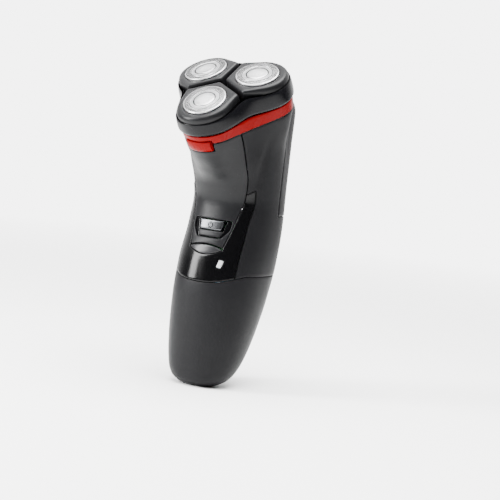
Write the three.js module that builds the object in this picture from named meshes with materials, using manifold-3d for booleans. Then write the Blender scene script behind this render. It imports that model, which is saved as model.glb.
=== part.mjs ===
// Cordless rotary shaver with a tilted three-disc head, as an assembly of its separate pieces.
// Millimetres. +Z runs up from the foot to the middle of the head, the front (power key) faces -Y,
// and the origin is the centre of the flat foot.
import * as THREE from 'three';
import { mergeVertices } from 'three/addons/utils/BufferGeometryUtils.js';
import Module from 'manifold-3d';

const wasm = await Module();
wasm.setup();

// ---------------------------------------------------------------- driving dimensions
const WALL = 2;                     // thickness of the moulded shells
const GAP = 0.15;                   // each piece stands back this far from a shared seam
const HEAD_TILT = 35.6;             // the head's plane leans forward, degrees
const HEAD = [0, -7.4, 159.5];      // centre of the plane of the three discs
const SPREAD = 17.8;                // distance of each disc's axis from the head's axis
const POD_TILT = 5;                 // each cutting unit leans outward at rest, degrees
const POD_PIVOT = -6;               // depth of the cutting units' rocking axes
const RIM = -20.4;                  // depth of the handle's upper rim on the head's axis
const RIM_FALL = -0.086;            // the rim and the collar's floor drop this much for each mm back
const LIP_FALL = -0.05;             // so does the head's lower edge
const SEAM = 60.3;                  // height of the lower shell's top edge at the sides
const SEAM_DIP = 4.8;               // how far that edge dips at the front
const AXES = { a: -90, b: 30, c: 150 };   // directions of the three cutting units

// handle, standing part: height, front, back, half width, squareness of the section
const HANDLE = [
  [0, -6.4, 6.4, 8.6, 2.2], [1.2, -8.4, 9.6, 11.6, 2.2], [4, -11, 14, 15.4, 2.3],
  [9, -12, 18.6, 18.4, 2.3], [18, -12.2, 24, 20.9, 2.3], [32, -12.4, 30.6, 22.9, 2.3],
  [48, -12.1, 37.4, 24, 2.3], [66, -9.6, 43, 24.4, 2.3], [84, -3.9, 45.4, 23.9, 2.35],
  [100, -1.3, 45.8, 23.2, 2.4], [114, -1.3, 45.4, 22.7, 2.6], [132, -1.3, 44.9, 22.5, 2.8],
  [150, -1.3, 44.5, 22.3, 3], [154, -1.3, 42.3, 20.8, 3], [156.5, -1.3, 38.5, 18, 3]];
// neck flaring into the head: centre y, centre z, tilt, half width, front depth, back depth, lobing
const NECK = [
  [21, 98, 6, 23, 22.3, 20, 0], [18, 112, 16, 23.4, 22.6, 20, 0.05],
  [13, 125, 26, 25.6, 26, 21, 0.35], [8, 136, 32, 28.8, 30.3, 23, 0.8],
  [4, 143.6, 35.6, 30.7, 33, 24.2, 1], [1.7, 146.8, 35.6, 30.9, 33.2, 24.4, 1]];

// ---------------------------------------------------------------- shape tools
const rad = THREE.MathUtils.degToRad;
const V = (x, y, z) => new THREE.Vector3(x, y, z);
const solid = (geometry, matrix) => {
  const g = geometry.clone();
  if (matrix) g.applyMatrix4(matrix);
  Object.keys(g.attributes).filter((k) => k !== 'position').forEach((k) => g.deleteAttribute(k));
  const merged = mergeVertices(g, 1e-4);
  const corners = merged.index.array;
  const faces = [];
  for (let i = 0; i < corners.length; i += 3) {
    const [a, b, c] = corners.slice(i, i + 3);
    if (a !== b && b !== c && c !== a) faces.push(a, b, c);
  }
  return new wasm.Manifold(new wasm.Mesh({
    numProp: 3,
    vertProperties: new Float32Array(merged.attributes.position.array),
    triVerts: new Uint32Array(faces),
  }));
};
const geometryOf = (piece) => {
  const m = piece.getMesh();
  const g = new THREE.BufferGeometry();
  g.setAttribute('position', new THREE.BufferAttribute(new Float32Array(m.vertProperties), 3));
  g.setIndex(new THREE.BufferAttribute(new Uint32Array(m.triVerts), 1));
  const faceted = g.toNonIndexed();
  faceted.computeVertexNormals();
  return faceted;
};
// solid through a stack of closed rings of points, each counter-clockwise from above
const loft = (rings) => {
  const n = rings[0].length;
  const at = rings.flat().flatMap((p) => [p.x, p.y, p.z]);
  const faces = [];
  for (let k = 0; k + 1 < rings.length; k++) {
    for (let i = 0; i < n; i++) {
      const [a, b] = [k * n + i, k * n + (i + 1) % n];
      faces.push(a, b, b + n, a, b + n, a + n);
    }
  }
  for (const [k, flip] of [[0, true], [rings.length - 1, false]]) {
    const mid = rings[k].reduce((s, p) => s.add(p), V(0, 0, 0)).divideScalar(n);
    const c = at.push(mid.x, mid.y, mid.z) / 3 - 1;
    for (let i = 0; i < n; i++) {
      const [a, b] = [k * n + i, k * n + (i + 1) % n];
      faces.push(c, flip ? b : a, flip ? a : b);
    }
  }
  const g = new THREE.BufferGeometry();
  g.setAttribute('position', new THREE.Float32BufferAttribute(at, 3));
  g.setIndex(faces);
  return solid(g);
};
const basis = (x, y, z, at) => new THREE.Matrix4().makeBasis(x, y, z).setPosition(at);
const [X, Y, Z] = [V(1, 0, 0), V(0, 1, 0), V(0, 0, 1)];
const slab = (points, depth, matrix) => solid(new THREE.ExtrudeGeometry(
  new THREE.Shape(points.map(([u, v]) => new THREE.Vector2(u, v))),
  { depth, bevelEnabled: false }), matrix);
const alongX = (points, x0, x1) => slab(points, x1 - x0, basis(Y, Z, X, V(x0, 0, 0)));
const alongY = (points, y0, y1) => slab(points, y1 - y0, basis(X, Z, V(0, -1, 0), V(0, y1, 0)));
const box = (x0, x1, y0, y1, z0, z1) => solid(
  new THREE.BoxGeometry(x1 - x0, y1 - y0, z1 - z0),
  new THREE.Matrix4().makeTranslation((x0 + x1) / 2, (y0 + y1) / 2, (z0 + z1) / 2));
// round solid about Z from a profile of [radius, height] that starts and ends on the axis
const turned = (profile, segments = 24, matrix) => solid(new THREE.LatheGeometry(
  profile.map(([r, z]) => new THREE.Vector2(r, z)), segments)
  .applyMatrix4(basis(X, Z, V(0, -1, 0), V(0, 0, 0))), matrix);
const rod = (r, z0, z1, segments = 20, matrix) =>
  turned([[0, z0], [r, z0], [r, z1], [0, z1]], segments, matrix);
const shift = (x, y, z) => new THREE.Matrix4().makeTranslation(x, y, z);
const rodX = (r, x0, x1, y, z) => rod(r, x0, x1, 20, basis(Y, Z, X, V(0, y, z)));
const mirrored = (side) => [...side, ...side.map(([u, v]) => [-u, v]).reverse()];
const spring = (r, wire, length, turns) => {
  const path = new THREE.CatmullRomCurve3(Array.from({ length: turns * 8 + 1 }, (_, i) => {
    const t = i / 8;
    return V(r * Math.cos(t * 2 * Math.PI), r * Math.sin(t * 2 * Math.PI), length * t / turns);
  }));
  const section = new THREE.Shape([0, 1, 2, 3].map((k) => new THREE.Vector2(
    wire * Math.cos(rad(90 * k)), wire * Math.sin(rad(90 * k)))));
  return new THREE.ExtrudeGeometry(section, { steps: turns * 8, bevelEnabled: false, extrudePath: path });
};

// outline of three equal circles wrapped together: radius towards the angle
const lobed = (angle, r, spread = SPREAD) => {
  const d = new THREE.Vector2(Math.cos(angle), Math.sin(angle));
  let far = 0;
  for (const turn of [-90, 30, 150]) {
    const c = new THREE.Vector2(Math.cos(rad(turn)), Math.sin(rad(turn))).multiplyScalar(spread);
    const along = d.dot(c);
    const rest = along * along - c.lengthSq() + r * r;
    if (rest >= 0) far = Math.max(far, along + Math.sqrt(rest));
    const n = new THREE.Vector2(Math.cos(rad(turn + 60)), Math.sin(rad(turn + 60)));
    const q = d.dot(n);
    if (q > 0.01) {
      const s = (spread / 2 + r) / q;
      if (Math.abs(s * d.cross(n)) <= spread * Math.sqrt(3) / 2) far = Math.max(far, s);
    }
  }
  return far;
};
const SIDES = 36;
const angles = Array.from({ length: SIDES }, (_, i) => (i + 0.5) * 2 * Math.PI / SIDES);
const section = (y, z, tilt, w, front, back, n, lobing) => angles.map((a) => {
  const [c, s] = [Math.cos(a), Math.sin(a)];
  const power = (v) => Math.sign(v) * Math.abs(v) ** (2 / n);
  const r = lobing ? lobed(a, w - SPREAD * Math.sqrt(3) / 2) : 0;
  const u = (1 - lobing) * w * power(c) + lobing * r * c;
  const v = (1 - lobing) * (s < 0 ? front : back) * power(s) + lobing * r * s;
  return V(u, y + v * Math.cos(rad(tilt)), z + v * Math.sin(rad(tilt)));
});
// the whole handle drawn in by t from its outer surface
const handle = (t) => {
  const low = t > 1 ? HANDLE.slice(1) : HANDLE;
  const standing = loft(low.map(([z, y0, y1, w, n], k) => {
    const up = k === 0 && t > 1 ? t : k === low.length - 1 ? -t : 0;
    const d = (y1 - y0) / 2 - t;
    return section((y0 + y1) / 2, z + up, 0, w - t, d, d, n, 0);
  }));
  const neck = loft(NECK.map(([y, z, tilt, w, f, b, lobing]) =>
    section(y, z, tilt, w - t, f - t, b - t, 2.3, lobing)));
  return standing.add(neck);
};
// head's own frame: x across, y up the tilted plane towards the back, z out through the discs
const headPose = new THREE.Matrix4().makeRotationX(rad(HEAD_TILT)).setPosition(...HEAD);
// ring of lobes at height z, falling towards the back, drawn in and raised between the lobes
const lobedRing = (z, r, fall = 0, waist = 0, arch = 0) => angles.map((a) => {
  const between = (0.5 - 0.5 * Math.cos(3 * a - rad(90))) ** 3;
  const far = lobed(a, r) - waist * between;
  return V(far * Math.cos(a), far * Math.sin(a), z + fall * far * Math.sin(a) + arch * between);
});
const lobedSolid = (levels) => loft(levels.map((level) => lobedRing(...level)));
const inHandle = (piece) => piece.transform(headPose.elements);
const unitAt = (key) => [SPREAD * Math.cos(rad(AXES[key])), SPREAD * Math.sin(rad(AXES[key]))];

// ---------------------------------------------------------------- assembly tools
const shaver = new THREE.Group();
const headGroup = new THREE.Group();
headGroup.applyMatrix4(headPose);
shaver.add(headGroup);
const FINISH = {
  shell: [0x2b2c2e, 0.55, 0], satin: [0x37383a, 0.42, 0], gloss: [0x08080a, 0.08, 0],
  red: [0xb9211f, 0.3, 0], dark: [0x222326, 0.4, 0], steel: [0xb9bcc0, 0.25, 1],
  chrome: [0xd0d3d6, 0.12, 1], lens: [0x5a5c60, 0.12, 0], light: [0xe8eaec, 0.2, 0],
  rubber: [0x151516, 0.8, 0], board: [0x1f5a35, 0.5, 0], cell: [0x2f6f8c, 0.4, 0],
  nylon: [0xdcdcd4, 0.5, 0], grey: [0x6a6c70, 0.45, 0],
};
const add = (name, piece, finish, parent = shaver) => {
  const [color, roughness, metalness] = FINISH[finish];
  const geometry = piece.isBufferGeometry ? piece : geometryOf(piece);
  const mesh = new THREE.Mesh(geometry, new THREE.MeshStandardMaterial({ color, roughness, metalness }));
  mesh.name = name;
  parent.add(mesh);
  return mesh;
};

// ---------------------------------------------------------------- handle shells
const seamAt = (y) => SEAM - (y < 3 ? SEAM_DIP * ((3 - y) / 14.4) ** 1.5 : 0);
const underSeam = (off) => alongX([[-30, -6], [60, -6], [60, SEAM + off],
  ...[3, 0, -3, -6, -9, -12, -16].map((y) => [y, seamAt(y) + off]), [-30, seamAt(-16) + off]], -40, 40);
const aboveRim = inHandle(box(-60, 60, -60, 80, 0, 80)
  .transform(new THREE.Matrix4().makeRotationX(Math.atan(RIM_FALL)).setPosition(0, 0, RIM).elements));
const outer = handle(0).subtract(aboveRim);
const wall = outer.subtract(handle(WALL));
const upperWall = wall.subtract(underSeam(GAP));

// charging inlet, a dark block let into the slope behind the foot, with two contact pins
const INLET_Y = 10;
add('charging_socket', handle(0.4)
  .intersect(box(-5.9, 5.9, INLET_Y - 4.3, INLET_Y + 4.3, 0.5, 11.5))
  .subtract(box(-4.4, 4.4, INLET_Y - 2.8, INLET_Y + 2.8, -1, 9.5))
  .subtract(rod(1.05, 9, 13, 12, shift(-3.05, INLET_Y, 0)))
  .subtract(rod(1.05, 9, 13, 12, shift(3.05, INLET_Y, 0))), 'dark');
add('socket_pin_l', rod(0.7, 5, 13, 12, shift(-3.05, INLET_Y, 0)), 'chrome');
add('socket_pin_r', rod(0.7, 5, 13, 12, shift(3.05, INLET_Y, 0)), 'chrome');

add('lower_shell', wall.intersect(underSeam(-GAP))
  .subtract(box(-6.2, 6.2, INLET_Y - 4.6, INLET_Y + 4.6, -2, 13)), 'shell');

// satin front tongue, half width by height, its round end resting on the indicator lens
const TONGUE = [[17.6, 140], [17.3, 131], [17.2, 115], [16.5, 107], [14.7, 96], [12.6, 86], [11.3, 80]];
const arc = (z, rise, grow = 0) => [-10, -7.5, -5, -2.5, 0, 2.5, 5, 7.5, 10].map((x) =>
  [x * (1 + grow / 10), z + rise * (1 - (x / 10) ** 2)]);
const tongueOutline = (t) => [...arc(73.9 - t, 1.5, t), ...TONGUE.map(([x, z]) => [x + t, z]).reverse(),
  ...TONGUE.map(([x, z]) => [-x - t, z])];
const tongueCut = (t) => alongY(tongueOutline(t), -40, 12);
const lensOutline = (t) => [[10 + 2 * t, 73.1], ...arc(73.2 + t, 1.6, t).slice(1, -1).reverse(),
  [-10 - 2 * t, 73.1], ...arc(73.0 - t, -2.9, t).slice(1, -1)];
const lensCut = (t) => alongY(lensOutline(t), -40, 12);
const FASCIA = [[18, 50], [18.3, 71.5], [18.2, 83.5], [19.2, 98], [19.7, 108.4], [16, 106]];
const fasciaCut = (t) => alongY(mirrored(FASCIA.map(([x, z], k) =>
  [x + (k === 5 ? 0 : t), z + (k > 3 ? t : 0)])), -40, 12);
const lightOutline = (t) => [[8.4 - t, 65.4 - t], [12.2 + t, 64.7 - t], [12.6 + t, 68 + t],
  [8.8 - t, 68.7 + t]];
const lightCut = (t) => alongY(lightOutline(t), -40, 12);
const keyOutline = (t) => mirrored([[5.8 + t, 78.9 - t], [7.6 + t, 80.4], [8.4 + t, 87.7 + t]]);
const keyCut = (t) => alongY(keyOutline(t), -40, 12);
const slotCut = (t) => alongY(mirrored([[6.4 + t, 78.2 - t], [8.6 + t, 79.4 - t], [10.9 + t, 84.5],
  [11.4 + t, 88.3 + t]]), -40, 12);
const tabRoom = inHandle(box(-8, 8, -60, -26, -22.1, -15.2));

add('front_shell', upperWall.intersect(tongueCut(-GAP)).subtract(slotCut(0)).subtract(tabRoom), 'satin');
add('fascia', upperWall.intersect(fasciaCut(-GAP)).subtract(tongueCut(GAP)).subtract(lensCut(GAP))
  .subtract(lightCut(GAP)), 'gloss');
add('indicator_lens', handle(0.2).subtract(handle(1.8)).intersect(lensCut(-GAP)), 'lens');
add('charge_light', handle(0.1).subtract(handle(1.8)).intersect(lightCut(-GAP)), 'light');

// back of the column: a separate spine cover with the window for the pop-up trimmer
const SPINE_Y = 24.5;
const spineZone = (t) => box(-40, 40, SPINE_Y - t, 60, 92 - t, 170);
const trimmerWindow = box(-15, 15, 35.4, 60, 111, 170);
const latchSlot = box(-2.4, 2.4, 38, 60, 97.4, 107.4);
add('rear_shell', upperWall.subtract(fasciaCut(GAP)).subtract(tongueCut(GAP))
  .subtract(spineZone(GAP)).subtract(lensCut(GAP)), 'shell');
add('spine_cover', upperWall.intersect(spineZone(-GAP)).subtract(trimmerWindow).subtract(latchSlot), 'shell');

// ---------------------------------------------------------------- power key
add('power_key', handle(-0.5).subtract(handle(1.6)).intersect(keyCut(-GAP))
  .add(rod(1.6, -1.8, 2.2, 16, basis(X, Z, V(0, -1, 0), V(0, 0, 84)).clone()
    .premultiply(shift(0, -0.2, 0)))), 'chrome');
add('key_bezel', handle(0.9).subtract(handle(2.3)).intersect(slotCut(-0.3)).subtract(keyCut(0.3)), 'gloss');
const BOARD_Y = 6;
add('main_board', box(-9, 9, BOARD_Y, BOARD_Y + 1.6, 62, 104), 'board');
add('key_switch', box(-3, 3, BOARD_Y - 2.4, BOARD_Y - 0.3, 81, 87)
  .add(rod(1.1, -1, 1, 12, basis(X, Z, V(0, -1, 0), V(0, BOARD_Y - 2.4, 84)))), 'grey');
const keySpring = spring(2.3, 0.22, 3, 3);
keySpring.applyMatrix4(basis(X, Z, V(0, -1, 0), V(0, 2.9, 84)));
add('key_spring', keySpring, 'steel');

// ---------------------------------------------------------------- battery, motor and gears
const batteryAxis = V(0, 10, 50).normalize();
add('battery', turned([[0, 0], [7, 0], [7, 48], [2.6, 48.6], [2.6, 50], [0, 50]], 24,
  basis(X, batteryAxis.clone().cross(X), batteryAxis, V(0, 11, 17))), 'cell');
const MOTOR_TOP = -29.6;
add('motor', turned([[0, -54], [11.3, -54], [11.3, MOTOR_TOP], [0, MOTOR_TOP]], 24), 'steel', headGroup);
const lobes = (r, z0, z1) => lobedSolid([[z0, r], [z1, r]]);
const plate = ['a', 'b', 'c'].reduce((piece, key) =>
  piece.subtract(rod(1.4, -40, 0, 12, shift(...unitAt(key), 0))), lobes(9.5, -28.4, -26.8))
  .subtract(rod(2.4, -40, 0, 16));
const SCREW_AT = [90, -30, 210].map((a) => [9.8 * Math.cos(rad(a)), 9.8 * Math.sin(rad(a))]);
add('gear_plate', SCREW_AT.reduce((piece, [x, y]) =>
  piece.subtract(rod(1.1, -40, 0, 12, shift(x, y, 0))), plate), 'nylon', headGroup);
SCREW_AT.forEach(([x, y], k) => add(`motor_screw_${k + 1}`,
  turned([[0, MOTOR_TOP + 0.3], [0.75, MOTOR_TOP + 0.3], [0.75, -26.5], [1.5, -26.5], [1.5, -25.5],
    [0, -25.5]], 12, shift(x, y, 0)), 'steel', headGroup));
const MODULE = 2 * SPREAD / 42;
const toothed = (teeth, bore, z0, z1, turn, matrix) => {
  const [tip, root] = [MODULE * (teeth / 2 + 0.72), MODULE * (teeth / 2 - 1.25)];
  const points = Array.from({ length: teeth }, (_, k) => [[root, 0.1], [tip, 0.39], [tip, 0.61], [root, 0.9]]
    .map(([r, f]) => [r * Math.cos((k + f + turn) * 2 * Math.PI / teeth),
      r * Math.sin((k + f + turn) * 2 * Math.PI / teeth)])).flat();
  const gear = slab(points, z1 - z0, shift(0, 0, z0)).subtract(rod(bore, z0 - 1, z1 + 1, 16));
  return matrix ? gear.transform(matrix.elements) : gear;
};
// a tooth of each driven gear points into a gap of the pinion on their common centre line
const PINION = 18;
add('motor_pinion', toothed(PINION, 0.5, -25.2, -22.2, 0).add(rod(1, -28.9, -22.2, 16)), 'steel', headGroup);
for (const key of ['a', 'b', 'c']) {
  const back = (AXES[key] + 180) / 360 * 24;
  add(`gear_${key}`, toothed(24, 1.6, -25.2, -22.2, back, shift(...unitAt(key), 0)), 'nylon', headGroup);
  add(`spindle_${key}`, turned([[0, -28], [1.1, -28], [1.1, -20.9], [1.9, -20.2], [1.9, -12.4],
    [1.2, -11.6], [1.2, -9.4], [0, -9.4]], 16, shift(...unitAt(key), 0)), 'chrome', headGroup);
}

// ---------------------------------------------------------------- red hair pocket on the rim
const cup = lobedSolid([[RIM + 0.4, 15.25, RIM_FALL, 0.2], [-14.25, 16, LIP_FALL, 1, 1.2]])
  .subtract(lobedSolid([[RIM + 1.8, 13.7, RIM_FALL, 0.2], [-13, 14.5, LIP_FALL, 1, 1.2]]));
const pinZone = (x0, x1) => rodX(1.8, x0, x1, 27.6, -14.2)
  .add(box(x0, x1, 23.9, 27.6, -16, -13.2));
const HINGE = [27.6, -14.2];
const pocket = ['a', 'b', 'c'].reduce((piece, key) =>
  piece.subtract(rod(2.4, -30, 0, 20, shift(...unitAt(key), 0))), cup)
  .subtract(box(-7.8, 7.8, -60, -28, -24, -15.2))
  .add(pinZone(4, 8)).add(pinZone(-8, -4)).subtract(rodX(1.05, -12, 12, ...HINGE));
add('hair_pocket', pocket, 'red', headGroup);
add('rim_seal', lobedSolid([[RIM + 0.05, 15, RIM_FALL, 0.2], [RIM + 0.3, 15, RIM_FALL, 0.2]])
  .subtract(lobedSolid([[-30, 13.9], [-10, 13.9]])).subtract(box(-8.2, 8.2, -60, -24, -21, -15)),
'rubber', headGroup);
add('release_tab', lobedSolid([[-21.7, 14.9], [-20.6, 15.9], [-18.5, 16.3], [-15.5, 16.3]])
  .subtract(lobedSolid([[-26, 13.4], [-20, 14.2], [-15, 14.5]]))
  .intersect(box(-7, 7, -60, -29, -21.6, -15.6)), 'red', headGroup);
const tabSpring = spring(1.2, 0.2, 2.6, 3);
tabSpring.applyMatrix4(basis(X, V(0, 0, -1), Y, V(0, -31.3, -18.4)));
add('release_spring', tabSpring, 'steel', headGroup);

// ---------------------------------------------------------------- flip-up head
const frame = lobedSolid([[-13.45, 16.3, LIP_FALL, 1.6, 1.2], [-12.75, 17.1, LIP_FALL, 1.6, 1.2],
  [-9.2, 17.2, 0, 1.8], [-7.8, 16.5, 0, 2.2]])
  .subtract(lobedSolid([[-9.9, 15.6, 0, 2.2], [-5, 15.6, 0, 2.2]]))
  .subtract(lobedSolid([[-18, 15.2, 0, 1.6], [-11.8, 15.2, 0, 1.6]]))
  .subtract(box(-8.4, -3.7, 22, 32, -18, -12.9)).subtract(box(3.7, 8.4, 22, 32, -18, -12.9));
add('head_frame', ['a', 'b', 'c'].reduce((piece, key) =>
  piece.subtract(rod(9.8, -20, 0, 24, shift(...unitAt(key), 0))), frame)
  .subtract(rod(2.3, -20, 0, 16))
  .add(rodX(1.8, -3.6, 3.6, ...HINGE)).add(box(-3.6, 3.6, 23, 29.2, -13.6, -11.2))
  .subtract(rodX(1.05, -12, 12, ...HINGE)), 'dark', headGroup);
add('head_pin', rodX(0.75, -7.9, 7.9, ...HINGE), 'steel', headGroup);
add('retaining_plate', ['a', 'b', 'c'].reduce((piece, key) =>
  piece.subtract(rod(6, -20, 0, 20, shift(...unitAt(key), 0))), lobes(11.6, -13.3, -12.1))
  .subtract(rod(2.2, -20, 0, 16)), 'grey', headGroup);
add('lock_knob', turned([[0, -16], [4.2, -16], [4.2, -13.6], [1.8, -13.6], [1.8, -10.5], [0, -10.5]], 20),
  'red', headGroup);

// ---------------------------------------------------------------- three rocking cutting units
// outline of a unit: a round outer end, two soft corners where its straight sides begin, and a soft
// point at the head's axis, so that three units fill the head with narrow gaps between them
const petal = (r) => {
  const inset = Math.max(0, 15.6 - r);
  const corner = [10.9, 14.1, 1.6 - 0.7 * inset];
  const circles = [[SPREAD + 1, 0, r - 1], corner, [corner[0], -corner[1], corner[2]],
    [2.9, 0, 1.5 - 0.7 * inset]];
  return angles.map((a) => Math.max(...circles.map(([d, side, q]) =>
    q + (d - SPREAD) * Math.cos(a) + side * Math.sin(a)))).map((h, i, hs) => {
    const j = (i + 1) % SIDES;
    const [c1, s1, c2, s2] = [Math.cos(angles[i]), Math.sin(angles[i]),
      Math.cos(angles[j]), Math.sin(angles[j])];
    const det = c1 * s2 - s1 * c2;
    return V((h * s2 - hs[j] * s1) / det, (c1 * hs[j] - c2 * h) / det, 0);
  });
};
const petalSolid = (levels) => loft(levels.map(([z, r]) => petal(r).map((p) => V(p.x, p.y, z))));
const pods = {};
for (const key of ['a', 'b', 'c']) {
  const unit = new THREE.Group();
  unit.position.set(...unitAt(key), POD_PIVOT);
  unit.rotation.set(0, rad(POD_TILT), rad(AXES[key]), 'ZYX');
  headGroup.add(unit);
  pods[key] = unit;
  const deep = -POD_PIVOT;
  add(`pod_${key}`, petalSolid([[deep - 7.4, 14.5], [deep - 5.1, 14.7], [deep - 4.6, 16.2],
    [deep - 1.9, 16], [deep - 0.5, 15.1], [deep - 0.1, 14.3]])
    .subtract(rod(11.6, deep - 5, deep + 2, 24)).subtract(rod(9.4, deep - 12, deep + 2, 20)), 'dark', unit);
  const cap = turned([[0, 0.95], [4.8, 0.8], [5.4, 0.35], [6, 0.7],
    [10.8, 0.7], [11.3, 0.2], [11.3, -4.7], [10.3, -4.7], [10.3, -0.4], [0, -0.4]]
    .map(([r, z]) => [r, z + deep]).reverse(), 24);
  const slots = Array.from({ length: 12 }, (_, k) => solid(new THREE.BoxGeometry(2, 0.6, 3),
    new THREE.Matrix4().makeRotationZ(rad(30 * k)).multiply(shift(9.35, 0, deep + 0.2))));
  add(`guard_${key}`, slots.reduce((piece, slot) => piece.subtract(slot), cap), 'chrome', unit);
  const blades = Array.from({ length: 8 }, (_, k) => solid(new THREE.BoxGeometry(2.2, 0.8, 1.4),
    new THREE.Matrix4().makeRotationZ(rad(45 * k)).multiply(shift(8.6, 0, deep - 2.1))));
  add(`cutter_${key}`, blades.reduce((piece, blade) => piece.add(blade),
    turned([[0, -7.6], [2.5, -7.6], [2.5, -11.2], [3.5, -11.2], [3.5, -4.2], [9.7, -3.6], [9.7, -2.6],
      [0, -2.6]].map(([r, z]) => [r, z + deep]), 24)), 'steel', unit);
}

// ---------------------------------------------------------------- pop-up trimmer on the spine
const TRIM_PIN = [41, 116];
const round = Array.from({ length: 9 }, (_, k) => {
  const a = rad(180 + 22.5 * k);
  return [TRIM_PIN[0] + 4 * Math.cos(a), TRIM_PIN[1] + 4 * Math.sin(a)];
});
const armProfile = [...round, [60, 116], [60, 149.4], [36.6, 149.4]];
add('trimmer_arm', outer.intersect(alongX(armProfile, -14.5, 14.5))
  .subtract(rodX(1.05, -20, 20, ...TRIM_PIN))
  .subtract(box(-11.5, 11.5, 30, 41.5, 122, 146)), 'shell');
add('trimmer_pin', rodX(0.75, -14.4, 14.4, ...TRIM_PIN), 'steel');
const comb = (count, pitch, width, y0, y1, z0, z1, root) => Array.from({ length: count }, (_, k) => {
  const x = (k - (count - 1) / 2) * pitch;
  return box(x - width / 2, x + width / 2, y0, y1, z0 + root - 0.1, z1);
}).reduce((piece, tooth) => piece.add(tooth),
  box(-(count - 1) / 2 * pitch - width, (count - 1) / 2 * pitch + width, y0, y1, z0, z0 + root));
add('trimmer_comb', comb(15, 1.8, 0.9, 40.2, 41.6, 149.7, 153.2, 1.2), 'steel');
add('trimmer_blade', comb(15, 1.7, 0.8, 38.3, 39.7, 149.8, 152.6, 1.2), 'steel');
add('trimmer_latch', handle(-1.6).subtract(handle(-0.3)).intersect(box(-6, 6, 38, 60, 100.4, 107.4))
  .add(box(-2, 2, 41, 46.4, 101, 107)).add(box(-4.5, 4.5, 39.8, 41.4, 100, 108)), 'dark');

export default shaver;
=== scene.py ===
import math
import bpy
import bmesh
import numpy as np
from mathutils import Matrix, Vector
from mathutils.geometry import delaunay_2d_cdt


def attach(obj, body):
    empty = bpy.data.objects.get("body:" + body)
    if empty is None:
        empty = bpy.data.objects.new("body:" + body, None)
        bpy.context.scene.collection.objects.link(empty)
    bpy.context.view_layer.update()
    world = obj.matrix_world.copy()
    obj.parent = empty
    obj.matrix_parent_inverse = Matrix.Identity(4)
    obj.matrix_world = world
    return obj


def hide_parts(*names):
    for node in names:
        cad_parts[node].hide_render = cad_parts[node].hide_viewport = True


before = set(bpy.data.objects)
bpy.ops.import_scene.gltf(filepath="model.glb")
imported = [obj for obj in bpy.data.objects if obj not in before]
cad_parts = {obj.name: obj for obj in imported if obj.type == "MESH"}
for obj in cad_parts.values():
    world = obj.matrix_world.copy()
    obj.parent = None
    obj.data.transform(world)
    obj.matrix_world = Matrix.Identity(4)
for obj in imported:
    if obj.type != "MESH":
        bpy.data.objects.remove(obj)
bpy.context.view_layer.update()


# ---------------------------------------------------------------- table, light and camera
# The shaver stands on its small foot on a pale table that fades into a pale surround. Two large
# soft lights and a surround that is darker towards the front and right light it, as in a studio.
def new_material(name, color, roughness, metallic=0.0, **sockets):
    material = bpy.data.materials.new(name)
    material.use_nodes = True
    shader = material.node_tree.nodes["Principled BSDF"]
    shader.inputs["Base Color"].default_value = (*color, 1)
    shader.inputs["Roughness"].default_value = roughness
    shader.inputs["Metallic"].default_value = metallic
    for socket, value in sockets.items():
        shader.inputs[socket.replace("_", " ")].default_value = value
    return material


def node(material, kind, **settings):
    made = material.node_tree.nodes.new(kind)
    for key, value in settings.items():
        setattr(made, key, value)
    return made


def link(material, source, target):
    material.node_tree.links.new(source, target)


def activate(piece):
    bpy.ops.object.select_all(action="DESELECT")
    piece.select_set(True)
    bpy.context.view_layer.objects.active = piece


bpy.ops.object.select_all(action="DESELECT")
bpy.ops.mesh.primitive_circle_add(vertices=128, radius=1.6, fill_type="NGON")
table = bpy.context.object
table.name = "table_top"
table_paint = new_material("pale_table", (0.86, 0.86, 0.855), 0.6)
where = node(table_paint, "ShaderNodeTexCoord")
fade = node(table_paint, "ShaderNodeMapRange")
length = node(table_paint, "ShaderNodeVectorMath", operation="LENGTH")
fade.inputs["From Min"].default_value = 0.28
fade.inputs["From Max"].default_value = 0.95
clear = node(table_paint, "ShaderNodeBsdfTransparent")
blend = node(table_paint, "ShaderNodeMixShader")
link(table_paint, where.outputs["Object"], length.inputs[0])
link(table_paint, length.outputs["Value"], fade.inputs["Value"])
link(table_paint, fade.outputs["Result"], blend.inputs["Fac"])
link(table_paint, table_paint.node_tree.nodes["Principled BSDF"].outputs[0], blend.inputs[1])
link(table_paint, clear.outputs[0], blend.inputs[2])
link(table_paint, blend.outputs[0], table_paint.node_tree.nodes["Material Output"].inputs[0])
table.data.materials.append(table_paint)

world = bpy.data.worlds.new("pale_surround")
world.use_nodes = True
backdrop = world.node_tree.nodes["Background"]
backdrop.inputs["Color"].default_value = (1, 1, 1, 1)
BACKDROP_BRIGHTNESS, SURROUND_DARK, SURROUND_BRIGHT = 5.8, 0.10, 2.5
towards = world.node_tree.nodes.new("ShaderNodeTexCoord")
facing = world.node_tree.nodes.new("ShaderNodeVectorMath")
facing.operation = "DOT_PRODUCT"
facing.inputs[1].default_value = (-0.35, 0.60, 0.72)
spread_out = world.node_tree.nodes.new("ShaderNodeMapRange")
spread_out.interpolation_type = "SMOOTHSTEP"
spread_out.inputs["From Min"].default_value = 0.05
spread_out.inputs["From Max"].default_value = 0.75
spread_out.inputs["To Min"].default_value = SURROUND_DARK
spread_out.inputs["To Max"].default_value = SURROUND_BRIGHT
seen = world.node_tree.nodes.new("ShaderNodeLightPath")
choose = world.node_tree.nodes.new("ShaderNodeMix")
choose.inputs["B"].default_value = BACKDROP_BRIGHTNESS
for source, target in ((towards.outputs["Generated"], facing.inputs[0]),
                       (facing.outputs["Value"], spread_out.inputs["Value"]),
                       (seen.outputs["Is Camera Ray"], choose.inputs["Factor"]),
                       (spread_out.outputs["Result"], choose.inputs["A"]),
                       (choose.outputs["Result"], backdrop.inputs["Strength"])):
    world.node_tree.links.new(source, target)
bpy.context.scene.world = world


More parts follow.
